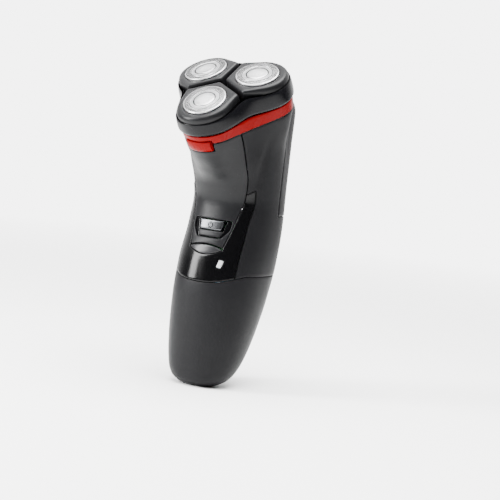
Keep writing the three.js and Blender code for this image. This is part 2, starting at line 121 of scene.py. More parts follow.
def soft_light(name, at, towards, width, height, watts):
    data = bpy.data.lights.new(name, "AREA")
    data.shape = "RECTANGLE"
    data.size, data.size_y, data.energy = width, height, watts
    lamp = bpy.data.objects.new(name, data)
    bpy.context.collection.objects.link(lamp)
    lamp.location = at
    lamp.rotation_euler = (Vector(towards) - Vector(at)).to_track_quat("-Z", "Y").to_euler()
    return lamp


soft_light("softbox_left", (-0.55, -0.55, 0.45), (0, 0, 0.09), 0.22, 0.7, 24)
soft_light("softbox_top", (0.1, -0.1, 0.9), (0, 0, 0.1), 0.8, 0.8, 46)

CAMERA_AT = (0.404773, -0.641496, 0.143267)
CAMERA_RIGHT = Vector((0.848972, 0.516894, 0.109870))
CAMERA_BACK = Vector((0.509219, -0.855780, 0.091307))
camera_data = bpy.data.cameras.new("camera")
camera_data.sensor_width = 36
camera_data.lens = 104.4
camera = bpy.data.objects.new("camera", camera_data)
bpy.context.collection.objects.link(camera)
camera_turn = Matrix((CAMERA_RIGHT, CAMERA_BACK.cross(CAMERA_RIGHT), CAMERA_BACK)).transposed()
camera.matrix_world = Matrix.Translation(CAMERA_AT) @ camera_turn.to_4x4()
bpy.context.scene.camera = camera


# ---------------------------------------------------------------- surface of the handle
# The handle is moulded to one flowing surface that several shells share. Sections across it are
# squared ovals that lean forward towards the head, where they become a three-lobed collar.
MM = 0.001
SPREAD = 17.8
STANDING = np.array([
    [0, -6.4, 6.4, 8.6, 2.2], [1.2, -8.4, 9.6, 11.6, 2.2], [4, -11, 14, 15.4, 2.3],
    [9, -12, 18.6, 18.4, 2.3], [18, -12.2, 24, 20.9, 2.3], [32, -12.4, 30.6, 22.9, 2.3],
    [48, -12.1, 37.4, 24, 2.3], [66, -9.6, 43, 24.4, 2.3], [84, -3.9, 45.4, 23.9, 2.35],
    [100, -1.3, 45.8, 23.2, 2.4], [114, -1.3, 45.4, 22.7, 2.6], [132, -1.3, 44.9, 22.5, 2.8],
    [148, -1.3, 44.6, 22.4, 3], [152, -1.3, 43.6, 21.6, 3], [154.6, -1.3, 41.7, 20.3, 3],
    [156.2, -1.3, 38.6, 18.1, 2.8], [157, -1.3, 34, 14.5, 2.6]])
LEANING = np.array([
    [98, 23, 22.3, 20, 0], [112, 23.4, 22.6, 20, 0.05], [125, 25.6, 26, 21, 0.35],
    [136, 28.8, 30.3, 23, 0.8], [143.6, 30.7, 33, 24.2, 1], [146.8, 30.9, 33.2, 24.4, 1],
    [152, 31, 33.3, 24.5, 1]])
CENTRES = np.array([
    [0, 0, 0], [1.2, 0.6, 0], [4, 1.5, 0], [9, 3.3, 0], [18, 5.9, 0], [32, 9.1, 0], [48, 12.65, 0],
    [66, 16.7, 0], [84, 20.75, 2], [98, 21, 6], [112, 18, 16], [125, 13, 26], [136, 8, 32],
    [143.6, 4, 35.6], [146.8, 1.7, 35.6], [152, -2, 35.6]])


def fair(table_, at):
    """Columns of the table at the given first-column values, by smooth curves with no overshoot."""
    x, y = table_[:, 0], table_[:, 1:]
    h = np.diff(x)[:, None]
    slope = np.diff(y, axis=0) / h
    tangent = np.zeros_like(y)
    tangent[0], tangent[-1] = slope[0], slope[-1]
    same = slope[:-1] * slope[1:] > 0
    a, b = 2 * h[1:] + h[:-1], h[1:] + 2 * h[:-1]
    with np.errstate(divide="ignore", invalid="ignore"):
        tangent[1:-1] = np.where(same, (a + b) / (a / slope[:-1] + b / slope[1:]), 0)
    at = np.asarray(at, float)
    k = np.clip(np.searchsorted(x, at, side="right") - 1, 0, len(x) - 2)
    t = ((at - x[k]) / (x[k + 1] - x[k]))[..., None]
    step = h[k, 0][..., None]
    t = np.clip(t, 0, 1)
    return ((2 * t ** 3 - 3 * t ** 2 + 1) * y[k] + (t ** 3 - 2 * t ** 2 + t) * step * tangent[k]
            + (3 * t ** 2 - 2 * t ** 3) * y[k + 1] + (t ** 3 - t ** 2) * step * tangent[k + 1])


def lobed(angle, r):
    """Radius of three equal circles wrapped together, towards each angle."""
    far = np.zeros(np.broadcast(angle, r).shape)
    c, s = np.cos(angle), np.sin(angle)
    for turn in (-90, 30, 150):
        cx, cy = SPREAD * math.cos(math.radians(turn)), SPREAD * math.sin(math.radians(turn))
        along = c * cx + s * cy
        rest = along ** 2 - SPREAD ** 2 + r ** 2
        far = np.where(rest >= 0, np.maximum(far, along + np.sqrt(np.maximum(rest, 0))), far)
        nx, ny = math.cos(math.radians(turn + 60)), math.sin(math.radians(turn + 60))
        q = np.maximum(c * nx + s * ny, 1e-6)
        straight = (SPREAD / 2 + r) / q
        near = (q > 0.01) & (np.abs(straight * (c * ny - s * nx)) <= SPREAD * math.sqrt(3) / 2)
        far = np.where(near, np.maximum(far, straight), far)
    return far


STEP_U, STEP_A = 0.5, 0.5
us = np.concatenate([np.linspace(0, 9, 37)[:-1], np.arange(9, 150.01, STEP_U)])
turns = np.radians(np.arange(-180, 180.01, STEP_A))
U, A = np.meshgrid(us, turns, indexing="ij")
centre_y, lean = (fair(CENTRES, U)[..., i] for i in range(2))
lean = np.radians(lean)


def outside_standing(r):
    x = r * np.cos(A)
    y = centre_y + r * np.sin(A) * np.cos(lean)
    z = np.maximum(U + r * np.sin(A) * np.sin(lean), 0)
    y0, y1, w, n = (fair(STANDING, z)[..., i] for i in range(4))
    return np.where(z > STANDING[-1, 0], 1.0, (np.abs(x) / w) ** n
                    + (np.abs(y - (y0 + y1) / 2) / ((y1 - y0) / 2)) ** n - 1)


near_r, far_r = np.zeros_like(U), np.full_like(U, 60.0)
for _ in range(24):
    mid_r = (near_r + far_r) / 2
    out = outside_standing(mid_r) > 0
    far_r, near_r = np.where(out, mid_r, far_r), np.where(out, near_r, mid_r)
standing_r = near_r
half, front, back, lobing = (fair(LEANING, U)[..., i] for i in range(4))
depth = np.where(A < 0, front, back)
oval = ((np.abs(np.cos(A)) / half) ** 2.3 + (np.abs(np.sin(A)) / depth) ** 2.3) ** (-1 / 2.3)
leaning_r = (1 - lobing) * oval + lobing * lobed(A, half - SPREAD * math.sqrt(3) / 2)
leaning_r = np.where(U < 98, leaning_r - (98 - U) * 0.5, leaning_r)
soft = 0.8 + 2.2 * np.clip((U - 100) / 15, 0, 1)
mix = np.maximum(soft - np.abs(standing_r - leaning_r), 0) / soft
radius = np.maximum(standing_r, leaning_r) + mix ** 2 * soft / 4
skin = np.stack([radius * np.cos(A), centre_y + radius * np.sin(A) * np.cos(lean),
                 U + radius * np.sin(A) * np.sin(lean)], axis=-1)
across = np.empty_like(skin)
across[:, 1:-1] = skin[:, 2:] - skin[:, :-2]
across[:, 0] = across[:, -1] = skin[:, 1] - skin[:, -2]
upward = np.gradient(skin, axis=0)
skin_normal = np.cross(across, upward)
skin_normal /= np.maximum(np.linalg.norm(skin_normal, axis=-1), 1e-9)[..., None]
skin_normal[0] = skin_normal[1]


def on_skin(angle, u, lift=0.0):
    """Points of the handle's surface (mm), raised by lift along its normal."""
    angle = (np.asarray(angle, float) + math.pi) % (2 * math.pi) - math.pi
    u = np.asarray(u, float)
    i = np.clip(np.searchsorted(us, u, side="right") - 1, 0, len(us) - 2)
    fu = np.clip((u - us[i]) / (us[i + 1] - us[i]), 0, 1)[..., None]
    a = (angle + math.pi) / math.radians(STEP_A)
    j = np.clip(a.astype(int), 0, len(turns) - 2)
    fa = (a - j)[..., None]

    def pick(grid):
        return ((1 - fu) * ((1 - fa) * grid[i, j] + fa * grid[i, j + 1])
                + fu * ((1 - fa) * grid[i + 1, j] + fa * grid[i + 1, j + 1]))
    return pick(skin) + np.asarray(lift)[..., None] * pick(skin_normal)


def find(targets, axes, angle=-90.0, u=None):
    """Surface coordinates (angle, u) where two of x, y, z take the given values."""
    targets = np.asarray(targets, float)
    a = np.full(len(targets), math.radians(angle))
    u = np.array(targets[:, 1], float) if u is None else np.full(len(targets), float(u))
    for _ in range(40):
        at = on_skin(a, u)[:, axes]
        da = (on_skin(a + 2e-3, u)[:, axes] - on_skin(a - 2e-3, u)[:, axes]) / 4e-3
        du = (on_skin(a, u + 0.1)[:, axes] - on_skin(a, u - 0.1)[:, axes]) / 0.2
        det = da[:, 0] * du[:, 1] - da[:, 1] * du[:, 0]
        det = np.where(np.abs(det) < 1e-6, 1e-6, det)
        miss = targets - at
        a += np.clip((miss[:, 0] * du[:, 1] - miss[:, 1] * du[:, 0]) / det, -0.08, 0.08)
        u += np.clip((da[:, 0] * miss[:, 1] - da[:, 1] * miss[:, 0]) / det, -3, 3)
        u = np.clip(u, 0.2, us[-1] - 0.2)
    return np.stack([a, u], axis=1)


def root(sign_of, low, high):
    """Where sign_of turns from negative to positive between low and high, for each entry."""
    low, high = np.array(low, float), np.array(high, float)
    for _ in range(30):
        middle = (low + high) / 2
        up = sign_of(middle) > 0
        high, low = np.where(up, middle, high), np.where(up, low, middle)
    return (low + high) / 2


HEAD_AT, HEAD_TILT = np.array([0, -7.4, 159.5]), math.radians(35.6)
HEAD_Y = np.array([0, math.cos(HEAD_TILT), math.sin(HEAD_TILT)])
HEAD_Z = np.array([0, -math.sin(HEAD_TILT), math.cos(HEAD_TILT)])
RIM, RIM_FALL, LIP_FALL = -20.4, -0.086, -0.05


def head_depth(points):
    return (points - HEAD_AT) @ HEAD_Z


def above_rim(points):
    return head_depth(points) - RIM - RIM_FALL * ((points - HEAD_AT) @ HEAD_Y)


def rim_u(angle):
    """Height coordinate of the collar's rim at the given angles."""
    angle = np.asarray(angle, float)
    return root(lambda u: above_rim(on_skin(angle, u)), np.full(angle.shape, 120.0),
                np.full(angle.shape, 149.5))


FLAT = 24.0      # millimetres of plan for each radian round the handle


def evenly(loop, gap=0.55):
    """The closed line through the given plan points, with points evenly spaced along each side."""
    out = []
    for p, q in zip(loop, np.roll(loop, -1, axis=0)):
        steps = max(1, round(float(np.linalg.norm(q - p)) / gap))
        out += [p + (q - p) * k / steps for k in range(steps)]
    return np.array(out)


def drawn_in(loop, distance):
    """A counter-clockwise loop moved to its own inside by distance."""
    before, after = np.roll(loop, 1, axis=0), np.roll(loop, -1, axis=0)
    d1, d2 = loop - before, after - loop
    d1 /= np.linalg.norm(d1, axis=1)[:, None]
    d2 /= np.linalg.norm(d2, axis=1)[:, None]
    n1, n2 = np.stack([-d1[:, 1], d1[:, 0]], 1), np.stack([-d2[:, 1], d2[:, 0]], 1)
    bisector = n1 + n2
    bisector /= np.maximum((bisector ** 2).sum(1), 0.8)[:, None] / 2
    return loop + bisector * distance


def is_inside(points, loop):
    inside = np.zeros(len(points), bool)
    for p, q in zip(loop, np.roll(loop, -1, axis=0)):
        crosses = (p[1] > points[:, 1]) != (q[1] > points[:, 1])
        if crosses.any():
            at = p[0] + (points[:, 1] - p[1]) * (q[0] - p[0]) / (q[1] - p[1] + 1e-12)
            inside ^= crosses & (points[:, 0] < at)
    return inside


def distance_to(points, loop):
    best = np.full(len(points), 1e9)
    for p, q in zip(loop, np.roll(loop, -1, axis=0)):
        d = q - p
        t = np.clip(((points - p) @ d) / max(d @ d, 1e-12), 0, 1)
        best = np.minimum(best, np.linalg.norm(points - p - t[:, None] * d, axis=1))
    return best


def area_of(loop):
    x, y = loop[:, 0], loop[:, 1]
    return 0.5 * float(np.sum(x * np.roll(y, -1) - np.roll(x, -1) * y))


def finish_mesh(name, points, faces, material, body, replaced, sharp=35):
    mesh = bpy.data.meshes.new(name)
    mesh.from_pydata([tuple(p) for p in points], [], [tuple(int(i) for i in f) for f in faces])
    mesh.update()
    piece = bpy.data.objects.new(name, mesh)
    bpy.context.collection.objects.link(piece)
    return dress(piece, name, material, body, replaced, sharp)


def dress(piece, name, material, body, replaced, sharp=35, tidy=True):
    """Merges and turns out the faces, applies the material and tells the frame what the piece is."""
    piece.name = name
    activate(piece)
    bpy.ops.object.transform_apply(location=True, rotation=True, scale=True)
    bpy.ops.object.mode_set(mode="EDIT")
    bpy.ops.mesh.select_all(action="SELECT")
    bpy.ops.mesh.remove_doubles(threshold=1e-6)
    if tidy:
        bpy.ops.mesh.normals_make_consistent(inside=False)
    bpy.ops.object.mode_set(mode="OBJECT")
    bpy.ops.object.shade_smooth_by_angle(angle=math.radians(sharp))
    piece.data.materials.clear()
    piece.data.materials.append(material)
    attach(piece, body)
    if replaced:
        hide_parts(*replaced)
    return piece


def panel(loop, holes=(), lift=0.0, thick=1.6, rounding=0.35, cell=1.0, floor=None, relief=None):
    """Points and faces of a shell panel that follows the handle inside a loop of plan points,
    with rounded edges and an inner side. floor gives a flat back instead of a parallel one."""
    loop = evenly(loop if area_of(loop) > 0 else loop[::-1])
    holes = [evenly(h if area_of(h) < 0 else h[::-1]) for h in holes]
    steps = [0.0, 0.1 * rounding, 0.35 * rounding, rounding]
    points, edges, fall = [], [], []
    for line in (loop, *holes):
        for s in steps:
            moved = drawn_in(line, s)
            start = len(points)
            points += list(moved)
            fall += [rounding - math.sqrt(max(rounding ** 2 - (rounding - s) ** 2, 0))] * len(moved)
            if s in (0.0, rounding):
                edges += [(start + k, start + (k + 1) % len(moved)) for k in range(len(moved))]
    low, high = loop.min(0), loop.max(0)
    gx = np.arange(low[0] + cell / 2, high[0], cell)
    gy = np.arange(low[1] + cell / 2, high[1], cell * 0.87)
    grid = np.array([(x + (k % 2) * cell / 2, y) for k, y in enumerate(gy) for x in gx]).reshape(-1, 2)
    keep = is_inside(grid, loop)
    for h in holes:
        keep &= ~is_inside(grid, h)
    grid = grid[keep]
    clearance = rounding + 0.45 * cell
    for line in (loop, *holes):
        if len(grid):
            grid = grid[distance_to(grid, line) > clearance]
    points += list(grid)
    fall += [0.0] * len(grid)
    verts, _, tris, origin, _, _ = delaunay_2d_cdt([Vector(p) for p in points], edges, [], 0, 1e-5)
    plan = np.array([tuple(v) for v in verts])
    fall = np.array([fall[o[0]] if o else 0.0 for o in origin])
    tris = np.array([t for t in tris])
    middle = plan[tris].mean(1)
    keep = is_inside(middle, loop)
    for h in holes:
        keep &= ~is_inside(middle, h)
    tris = tris[keep]
    a, b, c = (plan[tris[:, k]] for k in range(3))
    turned = ((b - a)[:, 0] * (c - a)[:, 1] - (b - a)[:, 1] * (c - a)[:, 0]) < 0
    tris[turned] = tris[turned][:, ::-1]
    extra = relief(plan[:, 0] / FLAT, plan[:, 1]) if relief else 0.0
    top = on_skin(plan[:, 0] / FLAT, plan[:, 1], lift - fall + extra)
    if floor is None:
        low_side = on_skin(plan[:, 0] / FLAT, plan[:, 1], lift - thick)
    else:
        low_side = floor(top)
    count = len(plan)
    faces = [tuple(t) for t in tris] + [(t[2] + count, t[1] + count, t[0] + count) for t in tris]
    used = {}
    for t in tris:
        for p, q in ((t[0], t[1]), (t[1], t[2]), (t[2], t[0])):
            used[(p, q)] = used.get((p, q), 0) + 1
    for p, q in used:
        if (q, p) not in used:
            faces.append((q, p, p + count, q + count))
    return np.concatenate([top, low_side]) * MM, faces


# ---------------------------------------------------------------- finishes of the moulded plastics
# The shells are spark-textured ABS with a fine grain that hands have polished in places; dust and
# faint finger marks lie on the gloss parts. The groups below give those marks to every finish.
def shader_group(name, outputs, **inputs):
    group = bpy.data.node_groups.new(name, "ShaderNodeTree")
    for key, value in inputs.items():
        made = group.interface.new_socket(name=key, in_out="INPUT", socket_type="NodeSocketFloat")
        made.default_value = value
    for key in outputs:
        group.interface.new_socket(name=key, in_out="OUTPUT", socket_type="NodeSocketFloat")
    return group, group.nodes.new("NodeGroupInput"), group.nodes.new("NodeGroupOutput")


def in_group(group, kind, **settings):
    made = group.nodes.new(kind)
    for key, value in settings.items():
        setattr(made, key, value)
    return made


grain_group, grain_in, grain_out = shader_group("moulded_grain", ("Height", "Mottle"), Scale=2600.0)
where = in_group(grain_group, "ShaderNodeTexCoord")
fine = in_group(grain_group, "ShaderNodeTexNoise")
fine.inputs["Detail"].default_value = 3
fine.inputs["Roughness"].default_value = 0.6
pits = in_group(grain_group, "ShaderNodeTexVoronoi", feature="SMOOTH_F1")
cloud = in_group(grain_group, "ShaderNodeTexNoise")
cloud.inputs["Scale"].default_value = 45
cloud.inputs["Detail"].default_value = 4
join = in_group(grain_group, "ShaderNodeMath", operation="ADD")
for texture in (fine, pits, cloud):
    grain_group.links.new(where.outputs["Object"], texture.inputs["Vector"])
grain_group.links.new(grain_in.outputs["Scale"], fine.inputs["Scale"])
grain_group.links.new(grain_in.outputs["Scale"], pits.inputs["Scale"])
grain_group.links.new(fine.outputs["Fac"], join.inputs[0])
grain_group.links.new(pits.outputs["Distance"], join.inputs[1])
grain_group.links.new(join.outputs[0], grain_out.inputs["Height"])
grain_group.links.new(cloud.outputs["Fac"], grain_out.inputs["Mottle"])

marks_group, marks_in, marks_out = shader_group("hand_marks", ("Smear", "Dust"), Amount=1.0)
where = in_group(marks_group, "ShaderNodeTexCoord")
stretch = in_group(marks_group, "ShaderNodeMapping")
stretch.inputs["Rotation"].default_value = (0.4, 0.3, 0.9)
stretch.inputs["Scale"].default_value = (1, 1, 0.35)
smear = in_group(marks_group, "ShaderNodeTexNoise")
smear.inputs["Scale"].default_value = 130
smear.inputs["Detail"].default_value = 5
smear.inputs["Distortion"].default_value = 1.5
level = in_group(marks_group, "ShaderNodeMapRange")
level.inputs["From Min"].default_value = 0.48
level.inputs["From Max"].default_value = 0.75
strength = in_group(marks_group, "ShaderNodeMath", operation="MULTIPLY")
motes = in_group(marks_group, "ShaderNodeTexVoronoi")
motes.inputs["Scale"].default_value = 420
speck = in_group(marks_group, "ShaderNodeMapRange")
speck.inputs["From Min"].default_value = 0.09
speck.inputs["From Max"].default_value = 0.04
marks_group.links.new(where.outputs["Object"], stretch.inputs["Vector"])
marks_group.links.new(stretch.outputs[0], smear.inputs["Vector"])
marks_group.links.new(where.outputs["Object"], motes.inputs["Vector"])
marks_group.links.new(smear.outputs["Fac"], level.inputs["Value"])
marks_group.links.new(level.outputs[0], strength.inputs[0])
marks_group.links.new(marks_in.outputs["Amount"], strength.inputs[1])
marks_group.links.new(motes.outputs["Distance"], speck.inputs["Value"])
marks_group.links.new(strength.outputs[0], marks_out.inputs["Smear"])
marks_group.links.new(speck.outputs[0], marks_out.inputs["Dust"])


def worked_material(name, color, roughness, metallic=0.0, grain=0.0, scale=2600.0, marks=0.5,
                    dust=0.03, lighter=1.35, spread=0.12, **sockets):
    """A finish with its own grain, colour mottle, finger smears and dust."""
    material = new_material(name, color, roughness, metallic, **sockets)
    tree, shader = material.node_tree, material.node_tree.nodes["Principled BSDF"]
    texture = node(material, "ShaderNodeGroup", node_tree=grain_group)
    texture.inputs["Scale"].default_value = scale
    hands = node(material, "ShaderNodeGroup", node_tree=marks_group)
    hands.inputs["Amount"].default_value = marks
    tone = node(material, "ShaderNodeMix", data_type="RGBA")
    tone.inputs[6].default_value = (*color, 1)
    tone.inputs[7].default_value = (*[min(1, c * lighter) for c in color], 1)
    link(material, texture.outputs["Mottle"], tone.inputs[0])
    dusty = node(material, "ShaderNodeMix", data_type="RGBA")
    dusty.inputs[7].default_value = (0.45, 0.45, 0.44, 1)
    dust_level = node(material, "ShaderNodeMath", operation="MULTIPLY")
    dust_level.inputs[1].default_value = dust
    link(material, hands.outputs["Dust"], dust_level.inputs[0])
    link(material, dust_level.outputs[0], dusty.inputs[0])
    link(material, tone.outputs[2], dusty.inputs[6])
    link(material, dusty.outputs[2], shader.inputs["Base Color"])
    rough = node(material, "ShaderNodeMapRange")
    rough.inputs["To Min"].default_value = roughness
    rough.inputs["To Max"].default_value = min(1, roughness + spread)
    link(material, hands.outputs["Smear"], rough.inputs["Value"])
    link(material, rough.outputs[0], shader.inputs["Roughness"])
    if grain:
        bump = node(material, "ShaderNodeBump")
        bump.inputs["Strength"].default_value = grain
        bump.inputs["Distance"].default_value = 0.00012
        link(material, texture.outputs["Height"], bump.inputs["Height"])
        link(material, bump.outputs[0], shader.inputs["Normal"])
    return material


shell_plastic = worked_material("shell_plastic", (0.0052, 0.0052, 0.0058), 0.40, grain=0.35, marks=0.6,
                                Specular_IOR_Level=0.08)
satin_plastic = worked_material("satin_plastic", (0.0056, 0.0057, 0.0063), 0.34, grain=0.25, marks=0.5,
                                Specular_IOR_Level=0.12)
gloss_black = worked_material("gloss_black", (0.0012, 0.0012, 0.0014), 0.15, marks=0.5, dust=0.02,
                               Specular_IOR_Level=0.16)
red_plastic = worked_material("red_plastic", (0.135, 0.0002, 0.0006), 0.26, grain=0.1, lighter=1.1, dust=0.01,
                              Specular_IOR_Level=0.05)
dark_plastic = worked_material("dark_plastic", (0.005, 0.005, 0.0056), 0.34, grain=0.3, marks=0.5,
                               Specular_IOR_Level=0.12)

# ---------------------------------------------------------------- seams between the shells
# The shells meet along moulded seams 0.3 mm wide. The front tongue narrows down from the head to
# the round indicator lens; the gloss fascia wraps both, and the lower shell starts under it.
SEAM, SEAM_DIP, HALF_GAP = 60.3, 4.8, 0.15


def seam_height(y):
    return SEAM - np.where(y < 3, SEAM_DIP * (np.maximum(3 - y, 0) / 14.4) ** 1.5, 0)


def seam_u(angle, shift):
    def above(u):
        p = on_skin(angle, u)
        return p[..., 2] - seam_height(p[..., 1]) - shift
    return root(above, np.full(np.shape(angle), 40.0), np.full(np.shape(angle), 75.0))


TONGUE = np.array([[73, 9.7], [80, 11.3], [86, 12.6], [96, 14.7], [107, 16.5], [115, 17.2], [131, 17.3],
                   [140, 17.5]])
FASCIA = np.array([[50, 18.0], [71.5, 18.3], [83.5, 18.2], [98, 19.2], [108.4, 19.7], [112, 19.9]])


def side_angle(u, widths, shift):
    """Angle, to the right of the front, where the surface is as wide as the table says."""
    def beyond(angle):
        p = on_skin(angle, u)
        return p[..., 0] - fair(widths, p[..., 2])[..., 0] - shift
    u = np.asarray(u, float)
    return root(beyond, np.full(u.shape, -math.pi / 2), np.full(u.shape, -0.15))


def plan(angle, u):
    return np.stack([np.asarray(angle) * FLAT, np.asarray(u) + 0 * np.asarray(angle)], axis=-1)


def mirror(side):
    """Plan points of the left side from those of the right, in reverse."""
    return np.stack([-math.pi * FLAT - side[::-1, 0], side[::-1, 1]], axis=1)


def front(points):
    """Plan points from a list of (x, z) on the front of the handle."""
    at = find(points, (0, 2))
    return np.stack([at[:, 0] * FLAT, at[:, 1]], axis=1)


def arc(z, rise, wide=10.0, count=25):
    x = np.linspace(-wide, wide, count)
    return np.stack([x, z + rise * (1 - (x / wide) ** 2)], axis=1)


# ---------------------------------------------------------------- lower shell and charging inlet
# The lower shell is one deep cup that holds the battery, moulded in dark grey ABS. It slides up to
# the seam; the charging inlet block is let into the slope behind the foot.
INLET_Y = 10.0


def cut(piece, low, high):
    """Cuts a rectangular block out of the piece."""
    size = [b - a for a, b in zip(low, high)]
    middle = [(a + b) / 2 for a, b in zip(low, high)]
    bpy.ops.object.select_all(action="DESELECT")
    bpy.ops.mesh.primitive_cube_add(size=1, location=middle, scale=size)
    block = bpy.context.object
    activate(piece)
    tool = piece.modifiers.new("cut", "BOOLEAN")
    tool.operation, tool.solver, tool.object = "DIFFERENCE", "EXACT", block
    bpy.ops.object.modifier_apply(modifier=tool.name)
    bpy.data.objects.remove(block)


columns = np.radians(np.arange(-180, 180, 2.0))
top_edge = seam_u(columns, -HALF_GAP)
rows = [(f, 0.0) for f in np.concatenate([np.linspace(0, 1, 26) ** 1.5 * 0.22, np.linspace(0.24, 0.993, 46)])]
rows += [(1 - 0.12 / 60, 0.05), (1 - 0.04 / 60, 0.16), (1.0, 0.35)]
rings = [on_skin(columns, top_edge * f, -drop) for f, drop in rows]
rings += [on_skin(columns, np.maximum(top_edge * f, 2.2 if f < 0.03 else 0), -1.9)
          for f in (1.0, 0.97, 0.8, 0.6, 0.4, 0.2, 0.1, 0.05, 0.025)]
rings = np.array(rings)
rings[-1, :, 2] = 2.2
n = len(columns)
points = np.concatenate([rings.reshape(-1, 3), [[0, 0, 0], [0, 1, 2.2]]])
faces = [(k * n + i, k * n + (i + 1) % n, (k + 1) * n + (i + 1) % n, (k + 1) * n + i)
         for k in range(len(rings) - 1) for i in range(n)]
faces += [(len(points) - 2, (i + 1) % n, i) for i in range(n)]
last = (len(rings) - 1) * n
faces += [(len(points) - 1, last + i, last + (i + 1) % n) for i in range(n)]
lower_shell = finish_mesh("lower_shell_skin", points * MM, faces, shell_plastic, "handle",
                          ["lower_shell"])
cut(lower_shell, (-0.0062, 0.0054, -0.001), (0.0062, 0.0146, 0.013))

# ---------------------------------------------------------------- rear shell
# The rear shell is the handle's main moulding: it wraps the sides and back from the fascia round to
# the spine and carries the collar's rim, with a shallow groove down each flank.
ARM_TOP = 108.4
spine_u = np.linspace(92.15, 141, 200)


SPINE_TOP_STEP = 2.5     # the seam runs this much further back where it nears the head


def back_angle(u, y):
    def behind(angle):
        return on_skin(angle, u)[..., 1] - y
    u = np.asarray(u, float)
    return root(behind, np.full(u.shape, -math.pi / 2), np.full(u.shape, math.pi / 2))


def spine_loop(y, z_low):
    """Plan loop of the part of the back that lies behind y and above z_low."""
    start = float(find([[y, z_low]], (1, 2), angle=20, u=z_low)[0, 1])
    u = np.concatenate([np.linspace(start, 138, 90), np.linspace(138.1, 145.2, 80)])
    rise = np.clip((u - 130) / 9, 0, 1)
    angle = back_angle(u, y + SPINE_TOP_STEP * rise * rise * (3 - 2 * rise))
    side = plan(angle, u)[angle < math.radians(88.5)]
    bottom_angles = np.linspace(math.pi - angle[0], angle[0], 60)[1:-1]
    bottom_u = root(lambda v: on_skin(bottom_angles, v)[..., 2] - z_low,
                    np.full(58, 60.0), np.full(58, 110.0))
    left = np.stack([math.pi * FLAT - side[::-1, 0], side[::-1, 1]], axis=1)
    return np.concatenate([side, left, plan(bottom_angles, bottom_u)])


fascia_u = np.linspace(float(seam_u(np.array(-0.6), HALF_GAP)), ARM_TOP, 80)
outer_edge = plan(side_angle(fascia_u, FASCIA, HALF_GAP), fascia_u)
first = outer_edge[0, 0] / FLAT
for _ in range(4):
    start_u = float(seam_u(np.array(first), HALF_GAP))
    first = float(side_angle(np.array(start_u), FASCIA, HALF_GAP))
fascia_u = np.linspace(start_u, ARM_TOP, 80)
outer_edge = plan(side_angle(fascia_u, FASCIA, HALF_GAP), fascia_u)


def up_to_rim(low, widths, shift, count):
    """Plan points up the line where the surface is as wide as the table says, to the rim."""
    top = 143.0
    for _ in range(6):
        top = float(rim_u(side_angle(np.array(top), widths, shift)))
    u = np.linspace(low, top, count)
    return plan(side_angle(u, widths, shift), u)


tongue_edge = up_to_rim(106.3, TONGUE, HALF_GAP, 60)
round_angles = np.linspace(first, math.pi - first + 0 * first, 200)
around = np.linspace(first, -math.pi - first + 2 * math.pi, 220)
seam_line = plan(around, seam_u(around, HALF_GAP))
right_side = np.concatenate([outer_edge, tongue_edge])
left_side = np.stack([math.pi * FLAT - right_side[:, 0], right_side[:, 1]], axis=1)
rim_angles = np.linspace(tongue_edge[-1, 0] / FLAT, math.pi - tongue_edge[-1, 0] / FLAT, 200)
rim_line = plan(rim_angles, rim_u(rim_angles))
rear_loop = np.concatenate([seam_line, left_side[1:], rim_line[::-1][1:-1], right_side[::-1][:-1]])


def flank(angle, u):
    """Shallow groove down each flank of the neck."""
    a = np.abs(((angle + math.pi / 2) + math.pi) % (2 * math.pi) - math.pi)
    p = on_skin(angle, u)
    line = np.abs(np.abs(p[..., 0]) - 23) * 0 + (p[..., 1] - 5.6)
    reach = np.clip((u - 100) / 12, 0, 1) * np.clip((138 - u) / 12, 0, 1)
    return -0.7 * np.exp(-(line / 2.2) ** 2) * reach * (a > 0.6)


spine_hole = spine_loop(24.3, 91.85)
points, faces = panel(rear_loop, [spine_hole], thick=1.9, relief=flank)
finish_mesh("rear_shell_skin", points, faces, shell_plastic, "handle", ["rear_shell"])

# ---------------------------------------------------------------- satin front tongue
# The tongue is a separate satin shell clipped into the front, with the slot for the power key and
# the notch for the head's release tab.
u_low = front(arc(73.95, 1.5, 9.8)[::-1])[0, 1]
edge = up_to_rim(u_low + 0.1, TONGUE, -HALF_GAP, 110)
NOTCH_HALF, NOTCH_DEPTH = 8.0, -22.1
notch_low = float(root(lambda u: head_depth(on_skin(np.full(np.shape(u), -math.pi / 2), u)) - NOTCH_DEPTH,
                       np.array(120.0), np.array(147.0)))
notch_top = 147.0
for _ in range(6):
    corner = root(lambda a: on_skin(a, np.full(np.shape(a), notch_top))[..., 0] - NOTCH_HALF,
                  np.array(-math.pi / 2), np.array(-0.2))
    notch_top = float(rim_u(corner))
notch_u = np.linspace(notch_low, notch_top, 14)
notch_edge = plan(root(lambda a: on_skin(a, notch_u)[..., 0] - NOTCH_HALF,
                       np.full(14, -math.pi / 2), np.full(14, -0.2)), notch_u)
lip_angles = np.linspace(edge[-1, 0], notch_edge[-1, 0], 12)[1:-1] / FLAT
lip = plan(lip_angles, rim_u(lip_angles))
half_loop = np.concatenate([edge, lip, notch_edge[::-1]])
tongue_loop = np.concatenate([half_loop, mirror(half_loop), front(arc(73.95, 1.5, 9.8))[1:-1]])


def rounded(corners, radius, count=6):
    """(x, z) outline through the corners with each corner rounded off."""
    corners = np.asarray(corners, float)
    out = []
    for before, here, after in zip(np.roll(corners, 1, 0), corners, np.roll(corners, -1, 0)):
        d1, d2 = before - here, after - here
        p = here + d1 / np.linalg.norm(d1) * radius
        q = here + d2 / np.linalg.norm(d2) * radius
        for t in np.linspace(0, 1, count):
            out.append((1 - t) ** 2 * p + 2 * t * (1 - t) * here + t ** 2 * q)
    return np.array(out)


